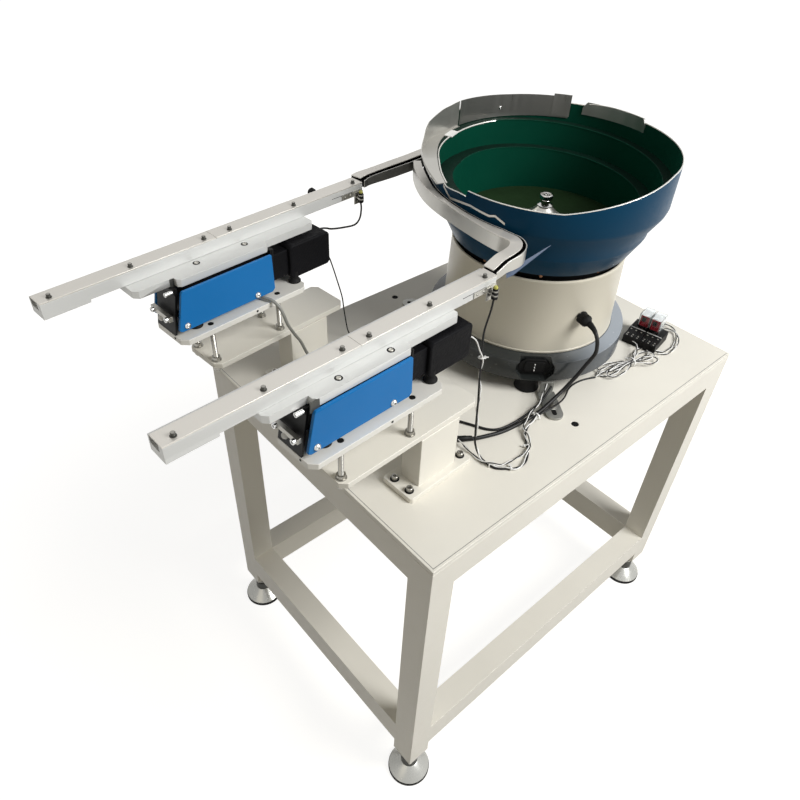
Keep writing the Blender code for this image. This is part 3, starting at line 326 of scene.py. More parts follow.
def at(x=0.0, y=0.0, z=0.0, turn=0.0, tilt=0.0, lean=0.0):
    """Moves to a spot, after turns in degrees about X, then Y, then Z."""
    spin = Matrix.Rotation(math.radians(turn), 4, "Z") @ Matrix.Rotation(math.radians(lean), 4, "Y")
    return Matrix.Translation((x, y, z)) @ spin @ Matrix.Rotation(math.radians(tilt), 4, "X")


ON_TABLE = at(-X_MID, -Y_MID, TOP)
ON_AXIS = Matrix.Translation(AXIS)


def on_track(spec):
    return at(-X_MID, spec["y"] - Y_MID, TOP, spec["yaw"])


def round_about(radius, angle, z=0.0, turn=0.0, tilt=0.0):
    """A spot about the bowl axis; its own +X points outwards."""
    a = math.radians(angle)
    return ON_AXIS @ at(radius * math.cos(a), radius * math.sin(a), z, angle + turn, tilt)


class Piece:
    """Shapes gathered into one object."""

    def __init__(self, base=None):
        self.base = base or Matrix.Identity(4)
        self.points, self.faces, self.marks, self.looks = [], [], [], []

    def put(self, shape, look, matrix=None):
        place = self.base @ matrix if matrix is not None else self.base
        start = len(self.points)
        if look not in self.looks:
            self.looks.append(look)
        flip = place.determinant() < 0
        self.points += [tuple(place @ Vector(p)) for p in shape[0]]
        for face in shape[1]:
            face = tuple(start + i for i in face)
            self.faces.append(face[::-1] if flip else face)
            self.marks.append(self.looks.index(look))
        return self

    def paint(self, marks):
        """Gives the last shape's faces a look each."""
        for look in dict.fromkeys(marks):
            if look not in self.looks:
                self.looks.append(look)
        self.marks[-len(marks):] = [self.looks.index(look) for look in marks]

    def make(self, name, body, slot=None, bevel=0.0, sharp=35.0, instead=(), segments=2):
        mesh = bpy.data.meshes.new(name)
        mesh.from_pydata(self.points, [], self.faces)
        for look in self.looks:
            mesh.materials.append(M[look])
        mesh.polygons.foreach_set("material_index", self.marks)
        shape = bmesh.new()
        shape.from_mesh(mesh)
        bmesh.ops.recalc_face_normals(shape, faces=shape.faces)
        shape.to_mesh(mesh)
        shape.free()
        mesh.update()
        obj = bpy.data.objects.new(name, mesh)
        bpy.context.scene.collection.objects.link(obj)
        if bevel:
            soften(obj, bevel, segments)
        mesh.shade_smooth()
        mesh.set_sharp_from_angle(angle=math.radians(sharp))
        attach(obj, body)
        if instead:
            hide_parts(*instead)
        return obj


def soften(obj, width, segments=2):
    bevel = obj.modifiers.new("edges", "BEVEL")
    bevel.width = width
    bevel.segments = segments
    bevel.limit_method = "ANGLE"
    bevel.angle_limit = math.radians(32)
    bevel.harden_normals = False


def dress(names, look, bevel=0.0):
    """A better material, and softened edges, on solids that stay."""
    for name in names if isinstance(names, (list, tuple)) else [names]:
        obj = NODES[name]
        obj.data.materials.clear()
        obj.data.materials.append(M[look])
        if bevel:
            weld = obj.modifiers.new("weld", "WELD")
            weld.merge_threshold = 1e-5
            soften(obj, bevel)


# ---------------------------------------------------------------- fasteners


def cap_screw(piece, place, radius, height, look="zinc", steps=24):
    """A socket head with a hexagonal recess, standing on its own +Z."""
    r, h, cut = radius, height, radius * 0.14
    profile = [(0, 0), (r, 0), (r, h - cut), (r - cut, h), (r * 0.56, h), (r * 0.52, h - 0.1 * r), (r * 0.5, h * 0.45), (0, h * 0.45)]
    piece.put(turned(profile, steps, hexed=(5, 6)), look, place)


def button_screw(piece, place, radius, height, look="chrome", steps=24):
    r, h = radius, height
    profile = [(0, 0), (r, 0), (r * 0.97, h * 0.3), (r * 0.82, h * 0.68), (r * 0.55, h), (r * 0.42, h), (r * 0.4, h * 0.5), (0, h * 0.5)]
    piece.put(turned(profile, steps, hexed=(5, 6)), look, place)


def washer(piece, place, radius, thick, look="zinc", bore=0.0):
    r, t = radius, thick
    profile = [(bore, 0), (r - t * 0.2, 0), (r, t * 0.3), (r, t * 0.7), (r - t * 0.2, t), (bore, t)]
    piece.put(turned(profile, 28), look, place)


def hex_nut(piece, place, radius, height, look="zinc"):
    r, h, c = radius, height, radius * 0.12
    profile = [(r * 0.5, 0), (r * 0.9, 0), (r, c * 0.6), (r, h - c * 0.6), (r * 0.9, h), (r * 0.5, h)]
    piece.put(turned(profile, 24, hexed=(2, 3)), look, place)


def stem(piece, place, radius, low, high, look="zinc", pitch=0.0015):
    """A threaded rod: a ridge each pitch."""
    profile, z = [(0, low)], low
    while z < high - pitch:
        profile += [(radius * 0.88, z), (radius, z + pitch * 0.5)]
        z += pitch
    piece.put(turned(profile + [(radius * 0.88, high), (0, high)], 18), look, place)


# ---------------------------------------------------------------- table


def table():
    dress(["table_frame"], "cream", 0.0022)
    dress(["table_top"], "cream", 0.0012)
    for number, (x, y) in enumerate(((0.494, 0.082), (0.515, 0.693)), 1):
        # A dark disc below each hole's mouth: painted shade inside the hole.
        well = Piece(at(x - X_MID, y - Y_MID, TOP - 0.0022)).put(turned([(0, 0), (0.0078, 0), (0.0078, 0.0015), (0, 0.0015)], 24), "hollow")
        well.make(f"table_hole_painted_shade_{number}", TABLE, "cream_paint")
    # Thin grey strips along the top's -Y and -X edges: painted shade in the groove between the top plate and the frame.
    seam = Piece(at(-X_MID, -Y_MID, TOP + 0.00005))
    inset = 0.0055
    for x, y in (((inset, 1 - inset), (inset, inset + 0.0012)), ((inset, inset + 0.0012), (inset, 0.738 - inset))):
        seam.put(box(x, y, (0.0, 0.0002)), "clampsteel")
    seam.make("table_top_painted_seam_shade", TABLE, "cream_paint")
    foot = [
        (0, 0.0100), (0.0500, 0.0100), (0.0512, 0.0112), (0.0510, 0.0135), (0.0490, 0.0150), (0.0225, 0.0405), (0.0212, 0.0410),
        (0.0212, 0.0412), (0, 0.0412),
    ]
    socket = [(0, 0.0410), (0.0205, 0.0410), (0.0205, 0.0560), (0.0178, 0.0600), (0.0178, 0.0625), (0, 0.0625)]
    sole = [(0, 0), (0.0505, 0), (0.0525, 0.0015), (0.0525, 0.0085), (0.0515, 0.0098), (0, 0.0098)]
    number = 1
    for x in (0.03, 0.97):
        for y in (0.03, 0.708):
            piece = Piece(at(x - X_MID, y - Y_MID))
            piece.put(turned(foot, 64), "foot").put(turned(sole, 64), "rubber").put(turned(socket, 48), "slate")
            stem(piece, None, 0.0098, 0.0600, 0.1045, "zinc", 0.0019)
            hex_nut(piece, at(0, 0, 0.0630), 0.0165, 0.0090)
            hex_nut(piece, at(0, 0, 0.0920), 0.0165, 0.0120)
            piece.put(turned([(0, 0.1045), (0.0098, 0.1045), (0.0098, 0.1545), (0, 0.1545)], 24), "zinc")
            piece.make(f"foot_look_{number}", f"foot {number}", "chrome", instead=(f"foot_{number}",))
            number += 1


# ---------------------------------------------------------------- bowl drive


def base_and_casing():
    edge = [
        (0, 0.035), (0.2255, 0.035), (0.2290, 0.0385), (0.2290, 0.0850), (0.2283, 0.0863), (0.2270, 0.0868),
        (0.2040, 0.0908), (0.2005, 0.0914), (0.1990, 0.0915), (0, 0.0915),
    ]
    base = Piece(ON_AXIS).put(turned(edge, 160), "base")
    # The top ring's faces take the lighter copy of the base paint: a painted sheen where the ring catches the light.
    base.paint(["painted_sheen_ring" if abs(min(base.points[i][2] for i in face) - TOP - 0.0868) < 0.0045 and len(face) == 4 else "base" for face in base.faces])
    base = base.make("drive_base_look", TABLE, "base_paint", instead=("drive_base",))
    half, corner, low, high = 0.042, 0.016, 0.0415, 0.0915
    outline = [
        (-half + corner, low), (half - corner, low), (half, low + corner), (half, high - corner), (half - corner, high + 0.01),
        (-half + corner, high + 0.01), (-half, high - corner), (-half, low + corner),
    ]
    turn = -133.2 - 90.0
    cutter = Piece(ON_AXIS).put(prism(outline, 0.207, 0.249, "y"), "black", at(turn=turn)).make("pocket_cut", TABLE)
    cut_away(base, cutter)
    inner = [(x * 0.80, 0.067 + (z - 0.067) * 0.72) for x, z in outline]
    insert = Piece(ON_AXIS)
    insert.put(prism([(x, min(z, 0.0850)) for x, z in inner], 0.2072, 0.2135, "y"), "black", at(turn=turn))
    insert.put(prism(chamfered(-0.022, 0.022, 0.0540, 0.0800, 0.004), 0.2130, 0.2165, "y"), "black", at(turn=turn))
    for z in (0.058, 0.066, 0.074):
        insert.put(box((-0.0012, 0.0012), (0.2160, 0.2172), (z - 0.0022, z + 0.0022)), "white", at(turn=turn))
    insert.make("terminal_panel", TABLE, "black_plastic", bevel=0.0006)
    high = 0.0918 + 0.176
    wall = [
        (0.1950, 0.0918), (0.1986, 0.0918), (0.1990, 0.0926), (0.1990, 0.0958), (0.1980, 0.0970), (0.1925, high - 0.0065),
        (0.1932, high - 0.0052), (0.1932, high - 0.0016), (0.1926, high - 0.0004), (0.1912, high), (0.1895, high), (0.1890, high - 0.002),
        (0.1920, 0.0930),
    ]
    shell = Piece(ON_AXIS).put(turned(wall + wall[:1], 180), "casing")
    shell.make("casing_look", TABLE, "casing_paint", instead=("casing",))
    for number, angle in enumerate((-135.0, -15.0, 105.0), 1):
        pad = [(0, 0.0003), (0.0270, 0.0003), (0.0280, 0.0014), (0.0272, 0.0050), (0.0250, 0.0110), (0.0245, 0.0175), (0.0250, 0.0240), (0.0272, 0.0300), (0.0280, 0.0332), (0.0272, 0.0346), (0, 0.0346)]
        spot = round_about(0.198, angle)
        Piece(spot).put(turned(pad, 48), "rubber").make(f"support_look_{number}", TABLE, "rubber", instead=(f"drive_support_{number}",))
    for number, angle in enumerate((-124.6, -4.6, 115.4), 1):
        inner, end = 0.2275, 0.3165
        sole = [(inner, -0.0195)] + [(end - 0.0195 * (1 - math.cos(t)), 0.0195 * math.sin(t)) for t in [math.radians(a) for a in range(-90, 91, 10)]] + [(inner, 0.0195)]
        clamp = Piece(ON_AXIS @ at(turn=angle)).put(prism(sole, 0.0003, 0.0056), "clampsteel")
        clamp.put(box((0.2268, 0.2292), (-0.0150, 0.0150), (0.0050, 0.0349)), "clampsteel")
        slot = [(0.286, -0.0052)] + [(0.3000 + 0.0052 * math.cos(t), 0.0052 * math.sin(t)) for t in [math.radians(a) for a in range(-90, 91, 15)]] + [(0.286, 0.0052)]
        # A dark sheet in the tongue's slot: painted shade in the slot.
        clamp.put(prism(slot, 0.0050, 0.0058), "hollow")
        spot = at(0.2780, 0, 0.0056)
        washer(clamp, spot, 0.0105, 0.0016, "clampsteel")
        hex_nut(clamp, spot @ at(0, 0, 0.0016, 12.0), 0.0082, 0.0060)
        clamp.put(turned([(0, 0), (0.0046, 0), (0.0042, 0.0100), (0, 0.0104)], 20), "zinc", spot)
        clamp.make(f"clamp_look_{number}", TABLE, "stainless", bevel=0.0006, instead=(f"drive_clamp_{number}",))
    dress(["coil", "drive_top"], "black")
    dark = Piece(ON_AXIS).put(turned([(0.150, 0.2630), (0.1795, 0.2630), (0.1800, 0.2640), (0.1800, 0.2815), (0.1790, 0.2826), (0.150, 0.2826)], 120), "black")
    for angle in (-138.9, -98.7, -58.0, -18.0, 22.0, 62.0, 102.0, 142.0, 182.0):
        a = math.radians(angle)
        place = at(0.1798 * math.cos(a), 0.1798 * math.sin(a), 0.2735, angle, lean=90)
        dark.put(turned([(0, 0), (0.0042, 0), (0.0042, 0.0035), (0.0030, 0.0045), (0, 0.0045)], 20, hexed=(1, 2)), "brass", place)
    dark.make("top_plate_edge", BOWL, "black_cast")


def cut_away(obj, cutter):
    """Takes the cutter out of obj for good, then deletes the cutter."""
    modifier = obj.modifiers.new("cut", "BOOLEAN")
    modifier.operation, modifier.solver, modifier.object = "DIFFERENCE", "EXACT", cutter
    graph = bpy.context.evaluated_depsgraph_get()
    mesh = bpy.data.meshes.new_from_object(obj.evaluated_get(graph))
    obj.modifiers.remove(modifier)
    obj.data = mesh
    mesh.set_sharp_from_angle(angle=math.radians(35))
    bpy.data.objects.remove(cutter)


def gland():
    place = ON_AXIS @ at(0, 0, 0.178, -107.4 + 90.0, 90.0)
    start = 0.1962
    piece = Piece(place)
    piece.put(turned([(0, start - 0.010), (0.0072, start - 0.010), (0.0072, start), (0.0132, start), (0.0138, start + 0.0010), (0.0138, start + 0.0035), (0.0120, start + 0.0045), (0, start + 0.0045)], 36), "black")
    hex_nut(piece, at(0, 0, start + 0.0042), 0.0138, 0.0065, "black")
    dome, z = [(0, start + 0.0100)], start + 0.0100
    dome += [(0.0122, z), (0.0126, z + 0.0015), (0.0126, z + 0.0080), (0.0112, z + 0.0120), (0.0082, z + 0.0160), (0.0066, z + 0.0195), (0, z + 0.0195)]
    piece.put(turned(dome, 36), "black")
    for k in range(18):
        a = 20.0 * k
        c, s = math.cos(math.radians(a)), math.sin(math.radians(a))
        rib = at(0.0124 * c, 0.0124 * s, z + 0.0015, a)
        piece.put(box((0, 0.0009), (-0.0008, 0.0008), (0, 0.0080)), "black", rib)
    piece.put(turned([(0.0100, start + 0.0005), (0.0146, start + 0.0005), (0.0146, start + 0.0026), (0.0100, start + 0.0026)], 6), "chrome")
    piece.make("gland_look", TABLE, "black_plastic", instead=("gland",))


# ---------------------------------------------------------------- bowl


def between(knots, x):
    """The knots' values at x, on straight lines between them."""
    for a, b in zip(knots, knots[1:]):
        if x <= b[0]:
            part = max(0.0, (x - a[0]) / (b[0] - a[0]))
            return [p + (q - p) * part for p, q in zip(a[1:], b[1:])]
    return list(knots[-1][1:])


SEAM = 180.0
RIM = (
    (0, 0.440), (44, 0.440), (101, 0.482), (280.5, 0.482), (286.5, 0.447), (327, 0.447), (344, 0.4215), (353, 0.427), (360, 0.428),
)


def rim_height(turn):
    """The rim, which is cut down where the lane leaves over it."""
    return between(RIM, turn)[0]


def lane_height(turn):
    return min(0.405 + 0.060 * min(turn, 252.0) / 360.0, rim_height(turn))


def lane_edge(turn):
    """The radius of the upper tier's inner edge."""
    return 0.225 + 0.0195 * min(max((turn - 285.0) / 50.0, 0.0), 1.0)


def bowl():
    """Sections closer together than the CAD bowl's, each face with the lining or paint that it carries."""
    inner = 0.2475
    turns = sorted({round(358.8 * k / 300, 3) for k in range(301)} | {101.0, 280.5, 286.5, 327.0, 344.0})
    points, faces, marks = [], [], []
    for turn in turns + [359.5]:
        part = turn if turn < 359 else 0.0
        rim, track, mid = rim_height(part), lane_height(part), lane_edge(part)
        low = 0.195 + 0.030 * min(max((part - 300.0) / 58.0, 0.0), 1.0)
        tier = 0.405 + 0.060 * part / 360.0 - 0.052
        section = [
            (0.0085, 0.283), (0.196, 0.283), (0.1985, 0.2850), (0.2205, 0.3270), (0.2222, 0.3310), (0.2230, 0.343), (0.2475, 0.3865), (0.2500, 0.3950),
            (0.2500, rim - 0.0006), (inner + 0.0003, rim), (inner, min(track, rim - 0.0005)), (mid, min(track, rim) - 0.0004), (mid - 0.001, tier - 0.002), (low, tier), (0.192, 0.3002), (0.0085, 0.3000),
        ]
        angle = math.radians(SEAM + turn)
        points += [(r * math.cos(angle), r * math.sin(angle), z) for r, z in section]
    count, steps = 16, len(turns) + 1
    names = ["navy"] * 8 + ["lane", "green", "tier", "green", "tier", "green", "olive", "navy"]
    for step in range(steps):
        after = (step + 1) % steps
        for i in range(count):
            j = (i + 1) % count
            faces.append((step * count + i, after * count + i, after * count + j, step * count + j))
            marks.append(names[i])
    piece = Piece(ON_AXIS).put((points, faces), "navy")
    piece.paint(marks)
    piece.make("bowl_look", BOWL, "bowl_paint", instead=("bowl",))
    rim = []
    for k in range(241):
        turn = 358.0 * k / 240
        a = math.radians(SEAM + turn)
        rim.append(Vector((0.2486 * math.cos(a), 0.2486 * math.sin(a), rim_height(turn) - 0.0004)))
    Piece(ON_AXIS).put(tube(rim, [0.00135] * len(rim), 8), "lane").make("rim_bead", BOWL, "stainless")
    for name, drop, start, end, look in (
        ("upper_tier_edge", 0.0, 0.0, 255.0, "green"), ("lane_edge", 0.0, 255.0, 342.0, "lane"), ("lower_tier_edge", 0.052, 0.0, 300.0, "green"),
    ):
        line = []
        for k in range(201):
            turn = start + (end - start) * k / 200
            a = math.radians(SEAM + turn)
            radius, high = (lane_edge(turn), lane_height(turn)) if not drop else (0.195, 0.405 + 0.060 * turn / 360.0 - drop)
            line.append(Vector((radius * math.cos(a), radius * math.sin(a), high + 0.0003)))
        thick = 0.0016 if look == "lane" else 0.0011
        Piece(ON_AXIS).put(tube(line, [thick] * len(line), 8), look).make(name, BOWL, "stainless" if look == "lane" else "bowl_paint")
    cone = [(0.0060, 0.3003), (0.064, 0.3003), (0.0625, 0.3022), (0.0290, 0.3270), (0.0165, 0.3395), (0.0145, 0.3412), (0.0060, 0.3412)]
    Piece(ON_AXIS).put(turned(cone + cone[:1], 120), "steel").make("cone_look", BOWL, "stainless", instead=("bowl_cone",))
    low = 0.3415
    knob = [
        (0, low - 0.012), (0.0070, low - 0.012), (0.0070, low), (0.0180, low), (0.0195, low + 0.0018), (0.0195, low + 0.0030),
        (0.0150, low + 0.0052), (0.0112, low + 0.0065), (0.0108, low + 0.0130), (0.0112, low + 0.0140), (0.0150, low + 0.0150),
        (0.0162, low + 0.0165), (0.0162, low + 0.0240), (0.0152, low + 0.0255), (0.0110, low + 0.0260), (0.0075, low + 0.0255), (0.0068, low + 0.0240), (0.0066, low + 0.0120), (0, low + 0.0120),
    ]
    knob = [(radius * 0.88, z) for radius, z in knob]
    Piece(ON_AXIS).put(turned(knob, 60), "chrome").make("knob_look", BOWL, "stainless", instead=("bowl_nut",))


def lofted(rings):
    """Rings of equally many points, joined in order and closed at both ends."""
    count = len(rings[0])
    points = [p for ring in rings for p in ring]
    faces = [tuple(range(count)), tuple(range(len(points) - count, len(points)))]
    for i in range(len(rings) - 1):
        for j in range(count):
            k = (j + 1) % count
            faces.append((i * count + j, i * count + k, (i + 1) * count + k, (i + 1) * count + j))
    return points, faces


LANE_WALL = (
    (99.0, -0.0033, 0.0538), (106.8, -0.0033, 0.0530), (113.0, 0.0020, 0.051), (118.0, 0.0080, 0.046),
    (125.0, 0.0165, 0.039), (128.5, 0.0195, 0.031), (131.5, 0.0215, 0.014), (140.0, 0.0245, 0.008),
    (150.0, 0.0245, 0.0055), (162.0, 0.0165, 0.0055),
)


def guards():
    face = 0.2467
    rings = []
    for k in range(91):
        angle = 32.0 + 66.0 * k / 90
        high = between(((32.0, 0.4945), (65.0, 0.4960), (98.0, 0.5012)), angle)[0]
        c, s = math.cos(math.radians(angle)), math.sin(math.radians(angle))
        rings.append([(r * c, r * s, z) for r, z in ((face - 0.0015, 0.4485), (face, 0.4485), (face, high), (face - 0.0015, high))])
    piece = Piece(ON_AXIS).put(lofted(rings), "collar")
    piece.put(band(face - 0.0030, face - 0.0017, 0.4520, 0.5000, 31.5, 41.0, 16), "collar")
    a = math.radians(70.0)
    button_screw(piece, at((face - 0.0015) * math.cos(a), (face - 0.0015) * math.sin(a), 0.468, 250.0, lean=90), 0.0035, 0.0018, "chrome")
    piece.make("guard_back_look", BOWL, "stainless", instead=("guard_back",))
    plate = Piece(ON_AXIS).put(band(face - 0.0015, face, 0.4620, 0.4900, -12.0, 25.0, 50, clip=2.0), "collar")
    rod = [Vector((0.2455 * math.cos(math.radians(k)), 0.2455 * math.sin(math.radians(k)), 0.4905 - 0.00004 * (k - 6) ** 2 * (k > 6) * 0.4)) for k in range(-11, 23)]
    plate.put(tube(rod, [0.0011] * len(rod), 8), "lane")
    plate.make("guard_right_look", BOWL, "stainless")
    rings = []
    for k in range(62):
        angle = 99.0 + 63.0 * k / 61
        past, tall = between(LANE_WALL, angle)
        turn = angle + 360.0 - SEAM
        outer, inner = 0.250 + past, max(0.240, lane_edge(turn) + 0.003)
        low = lane_height(turn) + 0.0003
        ring = [(inner, low), (outer, low), (outer, low + tall), (outer - 0.0015, low + tall), (outer - 0.0015, low + 0.0015), (inner, low + 0.0015)]
        c, s = math.cos(math.radians(angle)), math.sin(math.radians(angle))
        rings.append([(r * c, r * s, z) for r, z in ring])
    wall = Piece(ON_AXIS).put(lofted(rings), "steel")
    wall.make("guard_left_look", BOWL, "stainless", instead=("guard_left",))
    wavy = []
    for k in range(41):
        angle = 162.0 + 38.0 * k / 40
        high = between(((162.0, 0.4190), (168.5, 0.4047), (176.0, 0.4100), (182.0, 0.4129), (192.3, 0.4076), (195.1, 0.4115), (200.0, 0.4013)), angle)[0]
        wavy.append([(r * math.cos(math.radians(angle)), r * math.sin(math.radians(angle)), z) for r, z in ((0.2503, high), (0.2512, high), (0.2512, high + 0.0042), (0.2503, high + 0.0042))])
    Piece(ON_AXIS).put(lofted(wavy), "cover").make("rim_strip", BOWL, "stainless")
    insert = []
    for k in range(7):
        angle = 107.0 + 9.0 * k / 6
        c, s = math.cos(math.radians(angle)), math.sin(math.radians(angle))
        insert.append([(r * c, r * s, z) for r, z in ((0.2225, 0.4478), (0.2405, 0.4478), (0.2405, 0.4496), (0.2225, 0.4496))])
    Piece(ON_AXIS).put(lofted(insert), "white").make("lane_insert", BOWL, "pale_jacket")


def chute_section(width, top, depth):
    h, low, w = width / 2, top - depth, 0.002
    return [(-h, top), (-h, low), (h, low), (h, top), (h - w, top), (h - w, low + w), (-h + w, low + w), (-h + w, top)]


def chute(name, knots, gap, outside):
    """Knots of x, y, top, depth and width; the channel's inside is painted dark beside its narrower cover, as painted
    shade.
    """
    path = [tuple(p) for p in smooth(knots, 0.005)]
    body = Piece(ON_AXIS).put(swept(path, [chute_section(p[4], p[2], p[3]) for p in path]), outside)
    # The channel's inner walls and floor take the near-black look: painted shade under the cover.
    body.paint(["lane", "lane"] + ([outside] * 3 + ["lane"] + ["hollow"] * 3 + ["lane"]) * (len(path) - 1))
    body.make(f"{name}_look", BOWL, "stainless", bevel=0.0004, instead=(name,))
    cover = []
    for p in path:
        low, half = p[2] + 0.0003, p[4] / 2
        cover.append([(-half, low), (half - gap, low), (half - gap, low + 0.0022), (-half, low + 0.0022)])
    Piece(ON_AXIS).put(swept(path, cover), "cover").make(f"{name}_cover_look", BOWL, "stainless", bevel=0.0004, instead=(f"{name}_cover",))


RUN = (
    (127.0, 0.0180, 0.0245, 0.0017), (136.0, 0.0075, 0.0270, 0.0017), (145.0, 0.0012, 0.0275, 0.0017),
    (155.0, 0.0008, 0.0237, 0.0017), (164.0, 0.0008, 0.0202, 0.0017), (173.0, 0.0008, 0.0182, 0.0020),
    (183.0, 0.0008, 0.0192, 0.0050), (192.0, 0.0008, 0.0240, 0.0085), (200.0, 0.0008, 0.0320, 0.0115),
)


def chutes():
    knots = []
    for i in range(15):
        angle = 127.0 + 73.0 * i / 14
        gap, width, drop = between(RUN, angle)
        ring, a = 0.250 + gap + width / 2, math.radians(angle)
        knots.append((ring * math.cos(a), ring * math.sin(a), 0.405 - drop, 0.030, width))
    high, low = knots[-1][2], 0.3635
    corner = ((-0.2445, -0.1070, 0.10, 0.030), (-0.2405, -0.1200, 0.18, 0.029), (-0.2455, -0.1325, 0.28, 0.028), (-0.2580, -0.1390, 0.38, 0.027), (-0.2740, -0.1395, 0.50, 0.025))
    knots += [(x, y, high + (low - high) * part, depth, 0.032) for x, y, part, depth in corner]
    slope = math.tan(math.radians(2.42))
    for x, part, depth in ((-0.295, 0.65, 0.021), (-0.3245, 1.0, 0.015)):
        knots.append((x, 0.221 + slope * (x + 0.650) - 0.374, high + (low - high) * part, depth, 0.032))
    chute("chute_1", knots, 0.0085, "steel")
    yaw = math.radians(4.80)
    line, end = 0.0215 + 0.0195, 0.3835
    x = end * math.cos(yaw) - line * math.sin(yaw) - 0.650
    y = 0.6070 + end * math.sin(yaw) + line * math.cos(yaw) - 0.374
    bend = (x + 0.022 * math.cos(yaw), y + 0.022 * math.sin(yaw))
    start = (-0.1124, 0.2365, 0.416, 0.024, 0.038)
    knots = [start]
    for part, top in ((0.35, 0.397), (0.65, 0.383)):
        knots.append((start[0] + (bend[0] - start[0]) * part, start[1] + (bend[1] - start[1]) * part, top, 0.021, 0.038))
    chute("chute_2", knots + [(*bend, 0.3660, 0.018, 0.038), (x, y, 0.3635, 0.016, 0.038)], 0.0120, "slate")
    ramp = [(-0.2720, -0.1344, 0.3380), (-0.1868, -0.1623, 0.3780), (-0.2620, -0.1440, 0.3330), (-0.2800, -0.1436, 0.3330)]
    ramp += [(x, y, z - 0.0015) for x, y, z in ramp]
    faces = [(0, 1, 2, 3), (7, 6, 5, 4)] + [(i, (i + 1) % 4, 4 + (i + 1) % 4, 4 + i) for i in range(4)]
    Piece(ON_AXIS).put((ramp, faces), "return").make("return_look", BOWL, "return_paint", instead=("return_plate",))


# ---------------------------------------------------------------- linear tracks


def stand(spec):
    tag = spec["tag"]
    base = on_track(spec)
    x, y = 0.1535, -0.0275
    piece = Piece(base)
    piece.put(prism(chamfered(x - 0.084, x + 0.084, y - 0.040, y + 0.040, 0.004), 0.0003, 0.0115), "cream")
    piece.put(box((x - 0.050, x + 0.050), (y - 0.024, y + 0.024), (0.0100, 0.1307)), "cream")
    piece.make(f"{tag}_pillar_look", TABLE, "cream_paint", bevel=0.0012, instead=(f"{tag}_pillar",))
    bolts = Piece(base)
    for dx in (-0.070, 0.070):
        for dy in (-0.020, 0.020):
            spot = at(x + dx, y + dy, 0.0115, 13.0 * dx / 0.07)
            washer(bolts, spot, 0.0090, 0.0016, "black")
            cap_screw(bolts, spot @ at(0, 0, 0.0016), 0.0065, 0.0082)
    bolts.make(f"{tag}_floor_screws", TABLE, "stainless")
    plate = Piece(base).put(prism(chamfered(-0.079, 0.257, -0.050, 0.050, 0.012), 0.131, 0.143), "cream")
    plate.make(f"{tag}_stand_look", TABLE, "cream_paint", bevel=0.0010, instead=(f"{tag}_stand_plate",))
    rods = Piece(base)
    for sx in (-0.067, 0.091):
        for sy in (-0.0315, 0.0315):
            stem(rods, at(sx, sy), 0.005, 0.1225, 0.2265, "zinc", 0.0016)
            washer(rods, at(sx, sy, 0.1293), 0.0095, 0.0015, bore=0.004)
            hex_nut(rods, at(sx, sy, 0.1228, 10), 0.0088, 0.0064)
            washer(rods, at(sx, sy, 0.1432), 0.0100, 0.0016, bore=0.004)
            hex_nut(rods, at(sx, sy, 0.1448, 25), 0.0090, 0.0075)
            hex_nut(rods, at(sx, sy, 0.2085, 5), 0.0090, 0.0070)
            washer(rods, at(sx, sy, 0.2154), 0.0095, 0.0014, bore=0.004)
            # A dark disc over each stud's end: painted shade in the bed plate's hole.
            rods.put(turned([(0, 0.2272), (0.0034, 0.2272), (0.0056, 0.2282), (0.0056, 0.2288), (0, 0.2288)], 24), "hollow", at(sx, sy))
    rods.make(f"{tag}_studs", TABLE, "stainless")
    dress([f"{tag}_bed_plate"], "pale", 0.0010)
    # Dark discs on the bed plate's faces: painted shade inside its tapped holes.
    holes = Piece(base)
    for ex, ey, ez, tilt in ((0.028, -0.0501, 0.2235, 90), (-0.1371, -0.020, 0.2235, 0)):
        place = at(ex, ey, ez, tilt=90) if tilt else at(ex, ey, ez, lean=-90)
        holes.put(turned([(0, 0), (0.0024, 0), (0.0024, 0.0002), (0, 0.0002)], 20), "hollow", place)
    holes.make(f"{tag}_tapped_hole_shade", TABLE, "aluminium")


